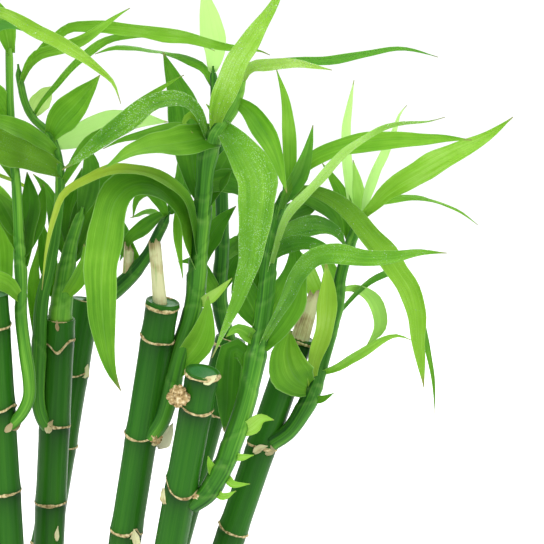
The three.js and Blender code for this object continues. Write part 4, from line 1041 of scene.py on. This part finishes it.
def dropParts(blades, seed):
    # Beads of water: small flattened balls at random spots of the upper face, sunk a little into it. Each
    # spot is the weighted mean of the four points round it.
    look = dropLook
    draw = np.random.default_rng(seed)
    ball = ballGrid(look["rows"], look["columns"], 0.2)
    beads = []
    for blade in blades:
        rows, columns = blade["top"].shape[:2]
        for i in range(blade["drops"]):
            row = draw.uniform(1, rows - 3)
            column = draw.beta(*look["crowd"]) * (columns - 2.4) + 0.6
            r, c = int(row), int(column)
            corner = blade["top"][r:r + 2, c:c + 2]
            u, v = row - r, column - c
            spot = ((1 - u) * ((1 - v) * corner[0, 0] + v * corner[0, 1])
                    + u * ((1 - v) * corner[1, 0] + v * corner[1, 1]))
            normal = unit(np.cross(corner[0, 1] - corner[0, 0], corner[1, 0] - corner[0, 0]))
            if normal @ blade["face"][r] < 0:
                normal = -normal
            size = draw.uniform(*look["size"]) * (look["big"] if i % look["bigEvery"] == 0 else 1)
            first = unit(corner[0, 1] - corner[0, 0])
            axes = np.stack([first, np.cross(normal, first), normal * look["flat"]])
            beads.append(gridPart(spot + (ball * size) @ axes + normal * size * look["proud"], {}))
    return beads


# Dry stubs: foot and top on the view with depths, thickness at both, and how green they still are.
stubs = {
    "c": {"foot": "128,276,45", "top": "129,244,45", "thick": [7.5, 6], "green": 0.25},
    "d": {"foot": "160.5,306,-61.5", "top": "155,240,-60", "thick": [8.4, 7], "green": 0.15},
    "g": {"foot": "299,341,5", "top": "315,290,5", "thick": [12, 6], "green": 0.12},
}


# Folds and tears are waves round the stub, each [height, number]. Rim is the way over the torn top into the
# hollow, as [share of the length, share of the radius].
stubLook = {
    "columns": 36, "rows": 22, "rim": [[1, 0.86], [0.97, 0.8], [0.9, 0.72], [0.8, 0.3]], "waist": 2.3,
    "folds": [[0.05, 3], [0.04, 5], [0.02, 11]], "foldGrowth": [0.6, 1.8],
    "tears": [[2.2, 1], [1.4, 3], [0.8, 8]], "tearDown": 2.4, "tearFrom": 0.75, "brown": 0.8,
    "brownFrom": 0.8, "brownRun": 0.2, "grainRadius": 4, "grainShift": 90,
}


def spotPoint(text):
    *spot, depth = spotList(text)[0]
    return place([spot], depth)[0]


def stubPart(stub, seed):
    # A dry rolled sheath: wrinkled lengthwise, torn at the top, with a hollow inside the tear.
    look = stubLook
    foot, top = spotPoint(stub["foot"]), spotPoint(stub["top"])
    wide, slim = stub["thick"]
    length = np.linalg.norm(top - foot)
    turn = fullCircle(look["columns"])
    rim = np.array(look["rim"])
    t = np.concatenate([np.linspace(0, 1, look["rows"]), rim[:, 0]])
    share = np.concatenate([np.ones(look["rows"]), rim[:, 1]])
    radius = np.interp(t, [0, 0.5, 1], [wide / 2, wide / look["waist"], slim / 2])
    phase = np.random.default_rng(seed).uniform(0, phaseEnd, 5)
    fold = sines(turn, 1, look["folds"], [*phase[:2], 0])
    radii = (radius * share)[:, None] * (1 + (fold - 1) * np.linspace(*look["foldGrowth"], len(t))[:, None])
    tear = sines(turn, 0, look["tears"], phase[2:])
    along = unit(top - foot)
    torn = np.clip((t - look["tearFrom"]) / (1 - look["tearFrom"]), 0, 1)
    rise = (tear - look["tearDown"]) * torn[:, None]
    centres = foot + (top - foot) * t[:, None]
    grid = centres[:, None] + outwards(along, turn) * radii[..., None] + along * rise[..., None]
    brown = look["brown"] * np.clip((t - look["brownFrom"]) / look["brownRun"], 0, 1)
    bark = barkPlace(turn, look["grainRadius"], (t * length)[:, None] + look["grainShift"] * seed)
    return gridPart(grid, {"grainPlace": bark, "tint": stub["green"], "warm": brown[:, None]})


# Round lumps of cork on the canes: place on the view with its depth, and radius.
corkLumps = {
    "d": [("155,437,-60", 4.2)],
    "e": [("178,397,-93", 6.6), ("199,497,-78", 4)],
}


# Ripples and furrow are [height, size], both as shares of the lump's radius.
lumpLook = {"rows": 40, "columns": 64, "core": 0.86, "ripples": [[0.2, 1.3], [0.16, 0.5]],
            "furrow": [0.14, 0.2]}


def lumpPart(spot, radius, seed):
    # A ball whose radius is uneven by three sizes of ripple, the finest one with sharp furrows.
    look = lumpLook
    ball = ballGrid(look["rows"], look["columns"], 0.05)
    uneven = look["core"]
    for i, (high, size) in enumerate(look["ripples"]):
        uneven = uneven + high * ripple(ball, size, seed + i)
    high, size = look["furrow"]
    uneven += high * (0.5 - np.abs(ripple(ball, size, seed + 2)))
    return gridPart(spotPoint(spot) + ball * radius * uneven[..., None], {})


# Dry husks and buds on the canes' skin: the route on the view, width, how far the tip stands off the skin,
# and how brown it is (or, below zero, how cream).
husks = {
    "a": [("5,432 9,428 13,421", 4, 1, 0.8), ("12,430 17,427 22,420", 3.4, 2, 0.7)],
    "b": [("48,433 49,427 53,420", 5, 0.8, 0.3), ("57,541 57,533 58,526", 3, 0.6, 0),
          ("58,331 57,326 57,320", 2.4, 0.2, 1)],
    "c": [("84,378 86,372 88,364", 5, 0.8, 0)],
    "d": [("152,445 156,436 159,428", 8, 1.5, 0), ("157,447 165,438 173,423", 10, 4, -1),
          ("135,547 135,539 134,529", 7, 1, 0)],
    "e": [("165,504 164,496 163,487", 5, 1, 0), ("203,383 210,380 217,375", 5, 0.3, 0),
          ("197,508 201,499 203,486", 7, 2, 0.5)],
    "g": [("254,453 260,448 268,446", 5, 1, 0.4), ("266,455 272,449 276,440", 5, 1.5, 0.6)],
}


huskLook = {"belly": 0.35, "offSkin": 0.4}


def huskParts(letter):
    parts = []
    for order, (route, broad, proud, brown) in enumerate(husks.get(letter, [])):
        husk = leafAt(route, broad, 0, 0, belly=huskLook["belly"], roll=[0, 0], warm=brown)
        near = huskLook["offSkin"]
        skin, lifted = (onCane(letter, husk["route"], off) for off in (near, near + proud))
        t = np.linspace(0, 1, len(skin))[:, None]
        parts.append(bladePart(skin * (1 - t) + lifted * t, husk, ord(letter) + order, 1))
    return parts


# The canes that the view doesn't take in are d, e and g again, turned, shifted and a little shorter. Leaves
# below a width of slimmest are left out of their shoots.
twins = {
    "h": {"like": "d", "turn": 180, "shift": [9, 27]},
    "i": {"like": "e", "turn": 200, "shift": [0, -21]},
    "j": {"like": "g", "turn": 210, "shift": [18, -21]},
}
twinLook = {"height": 0.93, "slimmest": 11}


def turned(points, twin):
    # Shrunk upwards from the foot, turned about the pot's middle, then shifted.
    foot = potShape["caneFoot"]
    moved = spin(points, math.radians(twin["turn"])) + [*twin["shift"], 0]
    moved[:, 2] = (points[:, 2] - foot) * twinLook["height"] + foot
    return moved


def withTwins(letters):
    # Each piece's letter, the letter that it is made like, and how it is turned.
    return ([(letter, letter, None) for letter in letters]
            + [(letter, twin["like"], twin) for letter, twin in twins.items()])


# Camera, floor and light

stageLook = {
    "sensor": 36, "floor": 9, "floorDown": -0.0004, "white": 0.97, "glow": 0.1,
    "lamps": {"keyLight": [(-1.3, -1.5, 2.0), 1.6, 34], "fillLight": [(1.6, -1.0, 1.2), 1.6, 12],
              "backLight": [(0.4, 1.6, 1.6), 1.8, 26]},
}


def addToScene(name, data, spot=(0, 0, 0), gaze=None):
    # Cameras and lamps look along their gaze.
    made = bpy.data.objects.new(name, data)
    made.location = spot
    if gaze is not None:
        made.rotation_euler = Vector(gaze).to_track_quat("-Z", "Y").to_euler()
    bpy.context.scene.collection.objects.link(made)
    return made


def setStage():
    look, scene = stageLook, bpy.context.scene
    camera = bpy.data.cameras.new("standCamera")
    camera.sensor_width = look["sensor"]
    camera.lens = look["sensor"] * view["distance"] / (view["step"] * view["steps"])
    scene.camera = addToScene("standCamera", camera, standpoint / perMetre, -towardViewer)
    scene.view_settings.view_transform = "Standard"

    far, down = look["floor"], look["floorDown"]
    mesh = bpy.data.meshes.new("paleFloor")
    mesh.from_pydata([(-far, -far, down), (far, -far, down), (far, far, down), (-far, far, down)], [],
                     [(0, 1, 2, 3)])
    floor = addToScene("paleFloor", mesh)
    material, wire, shader = newMaterial("palePaper")
    wire.feed(shader, Base_Color=(look["white"],) * 3, Roughness=1.0, Specular_IOR_Level=0.0,
              Emission_Color=(1, 1, 1), Emission_Strength=look["glow"])
    mesh.materials.append(material)

    scene.world = bpy.data.worlds.new("whiteRoom")
    scene.world.use_nodes = True
    tree = scene.world.node_tree
    Wiring(tree).feed(tree.nodes["Background"], i0=(1, 1, 1), i1=1.0)
    for name, (spot, size, power) in look["lamps"].items():
        light = bpy.data.lights.new(name, "AREA")
        light.size = size
        light.energy = power
        addToScene(name, light, spot, Vector((0, 0, 0.4)) - Vector(spot))


setStage()
print("stage set")
makePot()
feet = {}
for letter, like, twin in withTwins(canes):
    top, foot, along = caneEnds(canes[like])
    level = foot + along * (potShape["gravelTop"] - foot[2]) / along[2]
    feet[letter] = turned(level[None], twin)[0] if twin else level
makeGravel(np.array(list(feet.values())))
print("pot and gravel made")

for letter, like, twin in withTwins(canes):
    makePiece("cane" + letter.upper(), [canePart(like)] + huskParts(like), [caneSkin, dryPaper],
              ["cane_" + letter], twin)
    if like in corkLumps:
        lumps = [lumpPart(spot, radius, ord(like) + i) for i, (spot, radius) in enumerate(corkLumps[like])]
        makePiece("cork" + letter.upper(), lumps, [corkLump], (), twin)
    if like in stubs:
        makePiece("stub" + letter.upper(), [stubPart(stubs[like], ord(like))], [dryPaper],
                  ["stub_" + letter], twin)
print("canes and stubs made")

for letter, like, twin in withTwins(shoots):
    parts = shootParts(like, twinLook["slimmest"] if twin else 0)
    makePiece("shoot" + letter.upper(), parts, [leafBlade, stemSheath], ["shoot_" + letter], twin)
    beads = dropParts(parts[1:], ord(letter))
    if beads:
        makePiece("drops" + letter.upper(), beads, [waterDrop], (), twin)
print("shoots made")
